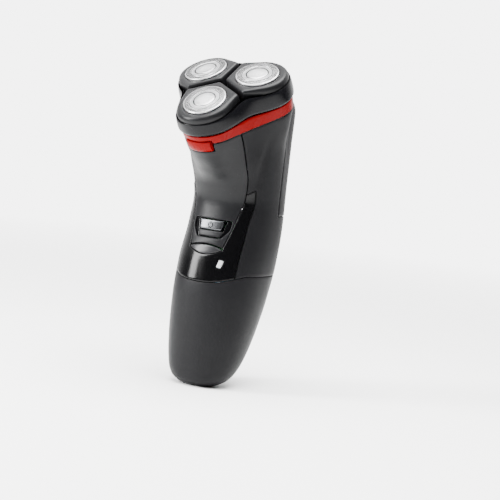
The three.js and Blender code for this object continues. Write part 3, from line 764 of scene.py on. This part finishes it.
SLOT = rounded([(-7.4, 78.4), (7.4, 78.4), (11.2, 83.2), (11.5, 88.3), (-11.5, 88.3), (-11.2, 83.2)],
               1.3)
points, faces = panel(tongue_loop, [front(SLOT)], thick=1.8)
finish_mesh("front_shell_skin", points, faces, satin_plastic, "handle", ["front_shell"])

# ---------------------------------------------------------------- gloss fascia and its two lights
# A polished black fascia wraps the foot of the tongue and runs up beside it in two arms. A round
# smoked indicator lens fills the end of the tongue and a small milky light sits lower right.
LIGHT = rounded([(8.8, 63.9), (11.3, 63.4), (12.3, 67.6), (9.9, 68.1)], 0.45)
lens_top, lens_low = arc(73.2, 1.6, 9.85), arc(72.9, -2.9, 9.85)
lens_line = np.concatenate([lens_low, lens_top[::-1][1:-1]])
fascia_outer = plan(side_angle(fascia_u, FASCIA, -HALF_GAP), fascia_u)
seam_angles = np.linspace(-math.pi - first, first, 60)
inner_u = np.linspace(74.2, 106.2, 70)
fascia_inner = plan(side_angle(inner_u, TONGUE, HALF_GAP), inner_u)
hole_low = front(arc(72.7, -3.0, 10.2))
fascia_loop = np.concatenate([plan(seam_angles, seam_u(seam_angles, HALF_GAP))[1:-1], fascia_outer,
                              fascia_inner[::-1], hole_low[::-1], mirror(fascia_inner[::-1]),
                              mirror(fascia_outer)])
points, faces = panel(fascia_loop, [front(LIGHT * 1.0)], thick=1.7, rounding=0.3)
finish_mesh("fascia_skin", points, faces, gloss_black, "handle", ["fascia"])
lens_plastic = worked_material("smoked_lens", (0.012, 0.012, 0.013), 0.24, marks=0.5, lighter=1.2,
                               Specular_IOR_Level=0.22)
points, faces = panel(front(lens_line), lift=0.05, thick=1.5, rounding=0.6, cell=0.6)
finish_mesh("indicator_lens_skin", points, faces, lens_plastic, "handle", ["indicator_lens"])
light_plastic = worked_material("milky_light", (0.45, 0.46, 0.47), 0.22, marks=0.3, lighter=1.05)
middle = LIGHT.mean(0)
points, faces = panel(front(middle + (LIGHT - middle) * 0.88), lift=0.05, thick=1.5, rounding=0.2, cell=0.4)
finish_mesh("charge_light_skin", points, faces, light_plastic, "handle", ["charge_light"])

# ---------------------------------------------------------------- power key
# A chromed strip key floats in a black bezel set into the tongue's slot, over a satin apron that
# moves with it. The strip carries the common on-off sign, a broken ring and bar, in black ink.
KEY = rounded([(-6.4, 82.6), (6.4, 82.6), (7.3, 87.6), (-7.3, 87.6)], 0.8, 8)
APRON = rounded([(-6.4, 79.1), (6.4, 79.1), (8.3, 82.3), (-8.3, 82.3)], 0.9, 8)
KEY_WELL = rounded([(-6.7, 78.8), (6.7, 78.8), (8.8, 87.9), (-8.8, 87.9)], 1.0, 8)
key_chrome = worked_material("key_chrome", (0.065, 0.067, 0.071), 0.24, 0.9, marks=0.8, lighter=1.15)
middle = SLOT.mean(0)
points, faces = panel(front(middle + (SLOT - middle) * 0.965), [front(KEY_WELL)],
                      lift=-0.8, thick=1.3, rounding=0.2, cell=0.6)
finish_mesh("key_bezel_skin", points, faces, gloss_black, "handle", ["key_bezel"])
points, faces = panel(front(KEY), lift=0.42, thick=1.8, rounding=0.6, cell=0.5)
finish_mesh("power_key_cap", points, faces, key_chrome, "key", ["power_key"])
points, faces = panel(front(APRON), lift=-0.15, thick=1.4, rounding=0.6, cell=0.5)
finish_mesh("power_key_apron", points, faces, satin_plastic, "key", [])
sign_paint = worked_material("sign_ink", (0.002, 0.002, 0.0022), 0.5, marks=0.2,
                             Specular_IOR_Level=0.05)


def stroke(path, width):
    """Outline, as (x, z) points, of a line of the given width along an open path."""
    path = np.asarray(path, float)
    d = np.gradient(path, axis=0)
    d /= np.linalg.norm(d, axis=1)[:, None]
    side = np.stack([-d[:, 1], d[:, 0]], axis=1) * width / 2
    return np.concatenate([path - side, (path + side)[::-1]])


sweep = np.radians(np.linspace(125, 415, 30))
ring_sign = np.stack([1.3 * np.cos(sweep), 84.9 + 1.3 * np.sin(sweep)], axis=1)
bar_sign = np.stack([np.zeros(8), np.linspace(85.1, 86.8, 8)], axis=1)
for name, path in (("sign_ring", ring_sign), ("sign_bar", bar_sign)):
    points, faces = panel(front(stroke(path, 0.45)), lift=0.49, thick=0.3, rounding=0.04, cell=0.3)
    finish_mesh(name, points, faces, sign_paint, "key", [])

# ---------------------------------------------------------------- spine cover
# The cover over the upper back is a separate shell with a window for the pop-up trimmer and a slot
# for its latch. It wraps over the top of the column to the collar.
def side_x(u, x):
    return root(lambda a: x - on_skin(a, u)[..., 0], np.full(np.shape(u), 0.0),
                np.full(np.shape(u), math.pi / 2))


def back_window(x, z_low, y_top=None, z_top=None):
    """Plan loop on the back, x wide each way, from z_low up to z_top or over the top to y_top."""
    u = np.linspace(80, 144.5, 400)
    angle = side_x(u, x)
    p = on_skin(angle, u)
    ok = p[:, 2] >= z_low
    ok &= p[:, 1] >= y_top if y_top is not None else p[:, 2] <= z_top
    ok[np.argmax(~ok & (u > 120)):] = False if (~ok & (u > 120)).any() else ok[-1]
    side = plan(angle[ok], u[ok])[::3]

    def level(shape_angles, limit, axis, sign):
        return root(lambda v: sign * (on_skin(shape_angles, v)[..., axis] - limit),
                    np.full(len(shape_angles), 70.0 if axis == 2 else 125.0),
                    np.full(len(shape_angles), 143.0))
    a0, a1 = side[0, 0] / FLAT, side[-1, 0] / FLAT
    top_angles = np.linspace(a1, math.pi - a1, 30)[1:-1]
    low_angles = np.linspace(math.pi - a0, a0, 30)[1:-1]
    top_u = level(top_angles, y_top, 1, -1) if y_top is not None else level(top_angles, z_top, 2, 1)
    left = np.stack([math.pi * FLAT - side[::-1, 0], side[::-1, 1]], axis=1)
    return np.concatenate([side, plan(top_angles, top_u), left, plan(low_angles, level(low_angles, z_low, 2, 1))])


window = back_window(15.0, 111.0, y_top=35.4)
latch_hole = back_window(2.4, 97.4, z_top=107.4)
points, faces = panel(spine_loop(24.7, 92.15), [window, latch_hole], thick=1.9, rounding=0.7)
finish_mesh("spine_cover_skin", points, faces, shell_plastic, "handle", ["spine_cover"])

latch_at = back_window(6.0, 100.4, z_top=107.4)


def ridges(angle, u):
    """Seven finger ridges across the latch."""
    z = on_skin(angle, u)[..., 2]
    return 0.28 * np.cos((z - 103.9) * 2 * math.pi / 0.95) * (np.abs(z - 103.9) < 2.7)


points, faces = panel(latch_at, lift=1.3, thick=1.0, rounding=0.35, cell=0.3, relief=ridges)
finish_mesh("latch_slider", points, faces, dark_plastic, "latch", ["trimmer_latch"])

# ---------------------------------------------------------------- pop-up trimmer
# The trimmer's arm lies in the spine's window and swings out on a steel pin near its foot. Its
# comb is fixed to the arm; the blade behind it runs from side to side.
arm_loop = back_window(14.5, 113.2, z_top=149.4)
points, faces = panel(arm_loop, thick=1.6, rounding=0.4,
                      floor=lambda top: np.stack([top[:, 0], 0 * top[:, 0] + 36.6, top[:, 2]], axis=1))
trimmer_arm = finish_mesh("trimmer_arm_skin", points, faces, shell_plastic, "trimmer",
                          ["trimmer_arm"])
cut(trimmer_arm, (-0.0115, 0.030, 0.122), (0.0115, 0.0415, 0.146))
blade_steel = worked_material("blade_steel", (0.55, 0.56, 0.57), 0.24, 1.0, grain=0.05, marks=0.6)


def toothed_bar(name, count, pitch, y0, y1, z0, z1, root_z):
    """A bar with a row of pointed teeth along its top, shaped from one block and its tooth."""
    bpy.ops.object.select_all(action="DESELECT")
    width = (count - 1) * pitch + 1.6
    bpy.ops.mesh.primitive_cube_add(size=1, location=(0, (y0 + y1) / 2, (z0 + root_z) / 2),
                                    scale=(width, y1 - y0, root_z - z0))
    bar = bpy.context.object
    made = [bar]
    for k in range(count):
        bpy.ops.mesh.primitive_cube_add(
            size=1, location=((k - (count - 1) / 2) * pitch, (y0 + y1) / 2, (root_z + z1) / 2 - 0.05),
            scale=(pitch * 0.55, y1 - y0, z1 - root_z + 0.1))
        tooth = bpy.context.object
        for vertex in tooth.data.vertices:
            if vertex.co.z > 0:
                vertex.co.x *= 0.45
                vertex.co.y *= 0.55
        made.append(tooth)
    for piece in made:
        piece.select_set(True)
    bpy.context.view_layer.objects.active = bar
    bpy.ops.object.join()
    bpy.ops.transform.resize(value=(MM, MM, MM), center_override=(0, 0, 0))
    return bar


comb = toothed_bar("comb", 15, 1.8, 40.2, 41.6, 149.7, 153.2, 150.9)
dress(comb, "trimmer_comb_teeth", blade_steel, "trimmer", ["trimmer_comb"])
blade = toothed_bar("blade", 15, 1.7, 38.3, 39.7, 149.8, 152.6, 151.0)
dress(blade, "trimmer_blade_teeth", blade_steel, "blade", ["trimmer_blade"])

# ---------------------------------------------------------------- charging inlet
# A black block with a rectangular well for the lead's plug; two pins stand in the well.
INLET_HALF, INLET_TOP = 5.9, 11.5
back_line = [float(root(lambda u: on_skin(np.full(np.shape(u), math.pi / 2), u)[..., 1] - y,
                        np.array(0.1), np.array(30.0))) for y in (INLET_Y - 4.3, INLET_Y + 4.3)]
slope = [float(on_skin(np.array(math.pi / 2), np.array(u))[2]) + 0.45 for u in back_line]
bpy.ops.object.select_all(action="DESELECT")
bpy.ops.mesh.primitive_cube_add(size=1, location=(0, INLET_Y * MM, 6 * MM),
                                scale=(2 * INLET_HALF * MM, 8.6 * MM, 11 * MM))
inlet = bpy.context.object
activate(inlet)
bpy.ops.object.transform_apply(location=True, rotation=True, scale=True)
for vertex in inlet.data.vertices:
    if vertex.co.z < 6 * MM:
        vertex.co.z = (slope[0] if vertex.co.y < INLET_Y * MM else slope[1]) * MM
    else:
        vertex.co.z = INLET_TOP * MM
bpy.ops.object.mode_set(mode="EDIT")
bpy.ops.mesh.select_all(action="SELECT")
bpy.ops.mesh.bevel(offset=0.0004, segments=3, affect="EDGES")
bpy.ops.object.mode_set(mode="OBJECT")
cut(inlet, (-0.0044, 0.0072, -0.001), (0.0044, 0.0128, 0.0095))
dress(inlet, "inlet_block", dark_plastic, "handle", ["charging_socket"])

# ---------------------------------------------------------------- red collar
# The red hair pocket is a shallow cup moulded in one, clipped on the rim; hair falls into it.
# Its wall shows as a bright band under the head, with hinge lugs at the back.
LOBE_COUNT = 180
lobe_angles = np.radians(np.arange(0.5, LOBE_COUNT) * 360 / LOBE_COUNT)


def head_row(local):
    """Row positions (mm) of points given across, up and out of the head's tilted plane."""
    local = np.asarray(local, float)
    return HEAD_AT + local[..., :1] * [1, 0, 0] + local[..., 1:2] * HEAD_Y + local[..., 2:] * HEAD_Z


def lobe_ring(w, r, fall=0.0, waist=0.0, arch=0.0):
    between = (0.5 - 0.5 * np.cos(3 * lobe_angles - math.pi / 2)) ** 3
    far = lobed(lobe_angles, np.full(LOBE_COUNT, float(r))) - waist * between
    v = far * np.sin(lobe_angles)
    return np.stack([far * np.cos(lobe_angles), v, w + fall * v + arch * between], axis=1)


def stacked(rings, poles=None):
    """Points and faces through the rings, closed by pole points or round into a loop."""
    n, rings = len(rings[0]), list(rings)
    count = len(rings)
    faces = [(k * n + i, k * n + (i + 1) % n, (k + 1) % count * n + (i + 1) % n, (k + 1) % count * n + i)
             for k in range(count - (1 if poles is not None else 0)) for i in range(n)]
    points = np.concatenate(rings + ([np.array(poles, float)] if poles is not None else []))
    if poles is not None:
        faces += [(count * n, (i + 1) % n, i) for i in range(n)]
        faces += [(count * n + 1, (count - 1) * n + i, (count - 1) * n + (i + 1) % n) for i in range(n)]
    return points, faces


def head_matrix(at=(0, 0, 0)):
    place = head_row(at) * MM
    turn = Matrix((Vector((1, 0, 0)), Vector(HEAD_Y), Vector(HEAD_Z))).transposed().to_4x4()
    return Matrix.Translation(Vector(place)) @ turn


def shaped(piece, made, operation="DIFFERENCE"):
    """Joins the just-made block or rod to the piece, or cuts it out."""
    activate(piece)
    tool = piece.modifiers.new("shape", "BOOLEAN")
    tool.operation, tool.solver, tool.object = operation, "EXACT", made
    bpy.ops.object.modifier_apply(modifier=tool.name)
    bpy.data.objects.remove(made)


def head_rod(r, at, low, high, across=False, sides=48):
    """A rod (mm) along the head's axis, or across it, for joining or cutting."""
    bpy.ops.object.select_all(action="DESELECT")
    bpy.ops.mesh.primitive_cylinder_add(vertices=sides, radius=r * MM, depth=(high - low) * MM)
    made = bpy.context.object
    middle = (low + high) / 2
    if across:
        made.matrix_world = head_matrix((middle, at[0], at[1])) @ Matrix.Rotation(math.pi / 2, 4, "Y")
    else:
        made.matrix_world = head_matrix((at[0], at[1], middle))
    return made


def head_block(low, high):
    """A block (mm) in the head's own frame."""
    bpy.ops.object.select_all(action="DESELECT")
    bpy.ops.mesh.primitive_cube_add(size=1)
    made = bpy.context.object
    size = [(b - a) * MM for a, b in zip(low, high)]
    made.matrix_world = head_matrix([(a + b) / 2 for a, b in zip(low, high)]) @ Matrix.Diagonal((*size, 1))
    return made


def raw_mesh(name, points, faces):
    mesh = bpy.data.meshes.new(name)
    mesh.from_pydata([tuple(p) for p in points], [], [tuple(int(i) for i in f) for f in faces])
    piece = bpy.data.objects.new(name, mesh)
    bpy.context.collection.objects.link(piece)
    return piece


UNIT_TURNS = {"a": -90, "b": 30, "c": 150}
unit_at = {k: (SPREAD * math.cos(math.radians(a)), SPREAD * math.sin(math.radians(a)))
           for k, a in UNIT_TURNS.items()}
low, high = (RIM + 0.4, RIM_FALL), (-14.25, LIP_FALL)
cup = [lobe_ring(low[0], r, low[1], 0.2) for r in (14.0, 15.0)]
cup += [lobe_ring(low[0] + 0.25, 15.25, low[1], 0.2)]
cup += [lobe_ring(low[0] + (high[0] - low[0]) * t, 15.25 + 0.75 * t, low[1] + (high[1] - low[1]) * t,
                  0.2 + 0.8 * t, 1.2 * t) for t in (0.25, 0.5, 0.75, 0.94)]
cup += [lobe_ring(high[0], r, high[1], 1, 1.2) for r in (15.8, 14.75)]
cup += [lobe_ring(high[0] - 0.25, 14.45, high[1], 1, 1.2), lobe_ring(RIM + 2.6, 13.8, RIM_FALL, 0.2),
        lobe_ring(RIM + 1.8, 13.0, RIM_FALL, 0.2)]
points, faces = stacked(cup, [(0, 0, RIM + 0.4), (0, 0, RIM + 1.8)])
collar = raw_mesh("collar", head_row(points) * MM, faces)
for k in "abc":
    shaped(collar, head_rod(2.4, unit_at[k], -30, 0))
shaped(collar, head_block((-7.8, -60, -24), (7.8, -28, -15.2)))
HINGE = (27.6, -14.2)
for side in (1, -1):
    x0, x1 = sorted((side * 4, side * 8))
    shaped(collar, head_rod(1.8, HINGE, x0, x1, across=True), "UNION")
    shaped(collar, head_block((x0, 23.2, -16), (x1, 27.6, -13.2)), "UNION")
shaped(collar, head_rod(1.05, HINGE, -12, 12, across=True))
dress(collar, "collar_red", red_plastic, "handle", ["hair_pocket"], sharp=30)

# ---------------------------------------------------------------- release tab
# The red tab under the collar frees the head when it is pressed in; its lower edge is turned under.
tab = [lobe_ring(w, r) for w, r in ((-21.55, 14.6), (-21.6, 15.2), (-21.3, 15.65), (-20.6, 15.95),
                                    (-19, 16.25), (-16.1, 16.35), (-15.7, 16.1), (-15.6, 15.6),
                                    (-15.6, 14.5), (-20, 14.2), (-21.3, 13.8))]
points, faces = stacked(tab)
release = raw_mesh("release", head_row(points) * MM, faces)
shaped(release, head_block((-7, -60, -30), (7, -29, -10)), "INTERSECT")
activate(release)
bevel = release.modifiers.new("edges", "BEVEL")
bevel.width, bevel.segments, bevel.limit_method, bevel.angle_limit = 0.0004, 3, "ANGLE", math.radians(60)
bpy.ops.object.modifier_apply(modifier=bevel.name)
dress(release, "release_tab_red", red_plastic, "release", ["release_tab"])

# ---------------------------------------------------------------- head frame
# The dark head frame is a three-lobed tray that carries the cutting units. Its skirt hangs over
# the collar, is drawn in between the lobes and hinges on an ear at the back.
rows = [(-11.8, 12.0, 0, 1.6), (-11.8, 15.2, 0, 1.6), (-13.3, 15.3, LIP_FALL, 1.6, 1.2),
        (-13.45, 15.6, LIP_FALL, 1.6, 1.2), (-13.45, 16.2, LIP_FALL, 1.6, 1.2),
        (-13.3, 16.6, LIP_FALL, 1.6, 1.2), (-12.75, 17.0, LIP_FALL, 1.6, 1.2),
        (-12.2, 17.1, LIP_FALL * 0.8, 1.65, 1.0), (-10.8, 17.2, LIP_FALL * 0.4, 1.75, 0.6),
        (-9.2, 17.2, 0, 1.9, 0.7), (-7.6, 17.15, 0, 2.1, 1.0), (-6.2, 17.05, 0, 2.5, 1.5),
        (-5.3, 16.95, 0, 2.9, 2.0), (-4.9, 16.8, 0, 3.1, 2.2), (-4.75, 16.65, 0, 3.2, 2.3),
        (-4.85, 16.5, 0, 3.2, 2.2), (-5.5, 16.45, 0, 3.1, 1.8), (-7.5, 16.1, 0, 2.6, 0.8),
        (-9.6, 15.6, 0, 2.2), (-9.9, 15.3, 0, 2.2),
        (-9.9, 12.0, 0, 2.2)]
points, faces = stacked([lobe_ring(*row) for row in rows], [(0, 0, -11.8), (0, 0, -9.9)])
tray = raw_mesh("tray", head_row(points) * MM, faces)
for k in "abc":
    shaped(tray, head_rod(9.8, unit_at[k], -20, 0, sides=96))
shaped(tray, head_rod(2.3, (0, 0), -20, 0))
for side in (1, -1):
    x0, x1 = sorted((side * 3.7, side * 8.4))
    shaped(tray, head_block((x0, 22, -18), (x1, 32, -12.9)))
shaped(tray, head_block((-3.6, 23, -13.6), (3.6, 29.2, -11.2)), "UNION")
shaped(tray, head_rod(1.8, HINGE, -3.6, 3.6, across=True), "UNION")
shaped(tray, head_rod(1.05, HINGE, -12, 12, across=True))
frame_plastic = worked_material("frame_plastic", (0.0035, 0.0035, 0.0042), 0.15, grain=0.06, marks=0.7,
                                lighter=1.25, Specular_IOR_Level=0.11)
dress(tray, "head_tray", frame_plastic, "head", ["head_frame"], sharp=40)

# ---------------------------------------------------------------- holders of the shaving discs
# Each disc sits in a rocking holder whose outline is round outside and comes to a point at the
# middle, so that the three fill the head with thin dark gaps between them.
PETAL_COUNT = 144
petal_angles = np.radians(np.arange(PETAL_COUNT) * 360 / PETAL_COUNT)
touch = np.radians(np.arange(0, 360, 1.0))


def petal_ring(z, r):
    inset = max(0, 15.6 - r)
    hold = [(SPREAD + 1, 0, r - 1), (10.9, 14.1, 1.6 - 0.7 * inset), (10.9, -14.1, 1.6 - 0.7 * inset),
            (2.9, 0, 1.5 - 0.7 * inset)]
    reach = np.max([q + (d - SPREAD) * np.cos(touch) + side * np.sin(touch) for d, side, q in hold], axis=0)
    facing = np.cos(touch[None] - petal_angles[:, None])
    far = np.min(np.where(facing > 0.05, reach[None] / np.maximum(facing, 0.05), 1e9), axis=1)
    return np.stack([far * np.cos(petal_angles), far * np.sin(petal_angles), np.full(PETAL_COUNT, float(z))],
                    axis=1)


def round_ring(z, r, count=PETAL_COUNT):
    a = np.radians(np.arange(count) * 360 / count)
    return np.stack([r * np.cos(a), r * np.sin(a), np.full(count, float(z))], axis=1)


def unit_matrix(key):
    turn = Matrix.Rotation(math.radians(UNIT_TURNS[key]), 4, "Z") @ Matrix.Rotation(math.radians(5), 4, "Y")
    return head_matrix((*unit_at[key], -6.0)) @ turn @ Matrix.Diagonal((MM, MM, MM, 1))


def per_unit(name, points, faces, material, body, node, sharp=35, each=None, last=None):
    """One finished copy of the same piece for each of the three cutting units."""
    for key in "abc":
        piece = raw_mesh(name, points, faces)
        if each:
            each(piece)
        activate(piece)
        piece.data.transform(unit_matrix(key))
        dress(piece, f"{name}_{key}", material, f"{body}_{key}", [f"{node}_{key}"], sharp)
        if last:
            last(piece, unit_matrix(key).inverted())


holder_plastic = worked_material("holder_plastic", (0.0055, 0.0055, 0.0061), 0.30, grain=0.22, marks=0.6,
                                 lighter=1.3, Specular_IOR_Level=0.14)
holder = [petal_ring(z, r) for z, r in (
    (-1.4, 14.2), (-1.25, 14.45), (0.85, 14.7), (1.1, 15.5), (1.3, 15.95), (1.7, 16.15), (3.0, 16.1),
    (4.0, 15.95), (4.7, 15.65), (5.3, 15.2), (5.7, 14.65), (5.86, 14.1), (5.9, 13.4))]
holder += [round_ring(5.9, 11.95), round_ring(5.8, 11.7), round_ring(5.5, 11.6), round_ring(1, 11.6),
           round_ring(1, 9.4), round_ring(-1.4, 9.4)]
points, faces = stacked(holder)
per_unit("disc_holder", points, faces, holder_plastic, "pod", "pod", sharp=42)

# ---------------------------------------------------------------- shaving discs
# Each guard is a thin pressed steel cap with two rings of fine slots round a plain raised middle.
# A lathe shape gives the cap; its slots are pressed into the faces of the two rings.
GUARD_SIDES = 120


def turned(profile, sides):
    """Points and faces of a solid of revolution from (radius, height) pairs, its ends on the axis."""
    rings = [round_ring(z, r, sides) for r, z in profile]
    return stacked(rings, [(0, 0, profile[0][1]), (0, 0, profile[-1][1])])


cap = [(10.5, 5.3), (10.5, 1.3), (11.3, 1.3), (11.3, 6.15), (11.22, 6.4), (11.05, 6.56), (10.85, 6.63),
       (8.35, 6.7), (8.22, 6.5), (7.9, 6.5), (7.77, 6.7), (6.1, 6.72), (6.0, 6.2), (5.35, 6.15),
       (5.25, 6.72), (5.0, 6.82), (3.5, 6.9), (1.5, 6.93)]
points, faces = turned(cap, GUARD_SIDES)
guard_steel = worked_material("guard_steel", (0.82, 0.82, 0.825), 0.30, 1.0, grain=0.12, scale=1500.0,
                              marks=0.9, lighter=1.12, dust=0.0)


def press_slots(piece):
    """Presses every other face of the two rings down into a slot."""
    activate(piece)
    mesh = piece.data
    for polygon in mesh.polygons:
        c = polygon.center
        r, turn = math.hypot(c.x, c.y), math.degrees(math.atan2(c.y, c.x)) % 360
        ring = (8.5 < r < 10.7 or 6.3 < r < 7.6) and c.z > 6.6
        polygon.select = ring and int(turn / (360 / GUARD_SIDES)) % 2 == 0
    bpy.ops.object.mode_set(mode="EDIT")
    bpy.ops.mesh.inset(thickness=0.05, depth=0, use_individual=True)
    bpy.ops.mesh.inset(thickness=0.02, depth=-0.3, use_individual=True)
    bpy.ops.object.mode_set(mode="OBJECT")


# Painted shade: the guard's pressed slots and grooves get a flat dark steel colour where shade falls in the
# recesses.
slot_shadow = worked_material("slot_shadow", (0.05, 0.05, 0.053), 0.5, 0.9, grain=0.1, marks=0.3)


def shade_slots(piece, to_unit):
    """Gives the pressed slots and the groove round the middle a flat dark, dull colour as painted shade."""
    piece.data.materials.append(slot_shadow)
    for polygon in piece.data.polygons:
        c = to_unit @ polygon.center
        pressed = c.z < 6.55 and c.z > 5.8 and 5.3 < math.hypot(c.x, c.y) < 10.7
        if pressed:
            polygon.material_index = 1


per_unit("shaving_disc", points, faces, guard_steel, "pod", "guard", each=press_slots,
         last=shade_slots)

# ---------------------------------------------------------------- moving and fixed parts inside
# Behind the shells are the battery, board, motor and gears, bought-in or turned parts that keep
# their plain shapes. Each has the finish of the stuff it is made of.
def finish_node(material, *names):
    """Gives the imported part's own solids their finish."""
    for name in names:
        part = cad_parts[name]
        if not part.material_slots:
            part.data.materials.append(material)
        for slot in part.material_slots:
            slot.material = material


spring_steel = worked_material("spring_steel", (0.45, 0.45, 0.46), 0.28, 1.0, grain=0.1, marks=0.3)
finish_node(spring_steel, "key_spring", "release_spring")
pin_steel = worked_material("pin_steel", (0.58, 0.58, 0.59), 0.22, 1.0, grain=0.08, scale=1800, marks=0.5)
finish_node(pin_steel, "head_pin", "trimmer_pin", "spindle_a", "spindle_b", "spindle_c", "motor_pinion")
screw_zinc = worked_material("screw_zinc", (0.40, 0.41, 0.44), 0.34, 1.0, grain=0.3, scale=1200, marks=0.4)
finish_node(screw_zinc, "motor_screw_1", "motor_screw_2", "motor_screw_3", "motor")
pin_nickel = worked_material("pin_nickel", (0.66, 0.63, 0.57), 0.18, 1.0, grain=0.05, marks=0.7)
finish_node(pin_nickel, "socket_pin_l", "socket_pin_r")
cutter_steel = worked_material("cutter_steel", (0.52, 0.53, 0.54), 0.30, 1.0, grain=0.25, scale=1400,
                               marks=0.8)
finish_node(cutter_steel, "cutter_a", "cutter_b", "cutter_c")
nylon = worked_material("natural_nylon", (0.62, 0.61, 0.55), 0.45, grain=0.3, marks=0.4,
                        Subsurface_Weight=0.1)
finish_node(nylon, "gear_plate", "gear_a", "gear_b", "gear_c")
grey_plastic = worked_material("grey_plastic", (0.11, 0.11, 0.12), 0.42, grain=0.4, marks=0.4)
finish_node(grey_plastic, "retaining_plate", "key_switch")
finish_node(red_plastic, "lock_knob")
seal_rubber = worked_material("seal_rubber", (0.006, 0.006, 0.006), 0.72, grain=0.6, scale=1500, dust=0.2)
finish_node(seal_rubber, "rim_seal")
cell_film = worked_material("cell_film", (0.03, 0.13, 0.22), 0.30, grain=0.15, scale=900, marks=0.7)
finish_node(cell_film, "battery")
board_mask = worked_material("board_mask", (0.012, 0.10, 0.035), 0.32, grain=0.3, scale=900, marks=0.4)
board_shader = board_mask.node_tree.nodes["Principled BSDF"]
tracks = node(board_mask, "ShaderNodeTexBrick", squash=0.6, squash_frequency=3)
tracks.inputs["Scale"].default_value = 260
tracks.inputs["Mortar Size"].default_value = 0.06
tracks.inputs["Color1"].default_value = (0.012, 0.10, 0.035, 1)
tracks.inputs["Color2"].default_value = (0.016, 0.12, 0.045, 1)
tracks.inputs["Mortar"].default_value = (0.06, 0.24, 0.09, 1)
board_where = node(board_mask, "ShaderNodeTexCoord")
turn_up = node(board_mask, "ShaderNodeMapping")
turn_up.inputs["Rotation"].default_value = (math.pi / 2, 0, 0)
link(board_mask, board_where.outputs["Object"], turn_up.inputs["Vector"])
link(board_mask, turn_up.outputs[0], tracks.inputs["Vector"])
link(board_mask, tracks.outputs["Color"], board_shader.inputs["Base Color"])
finish_node(board_mask, "main_board")
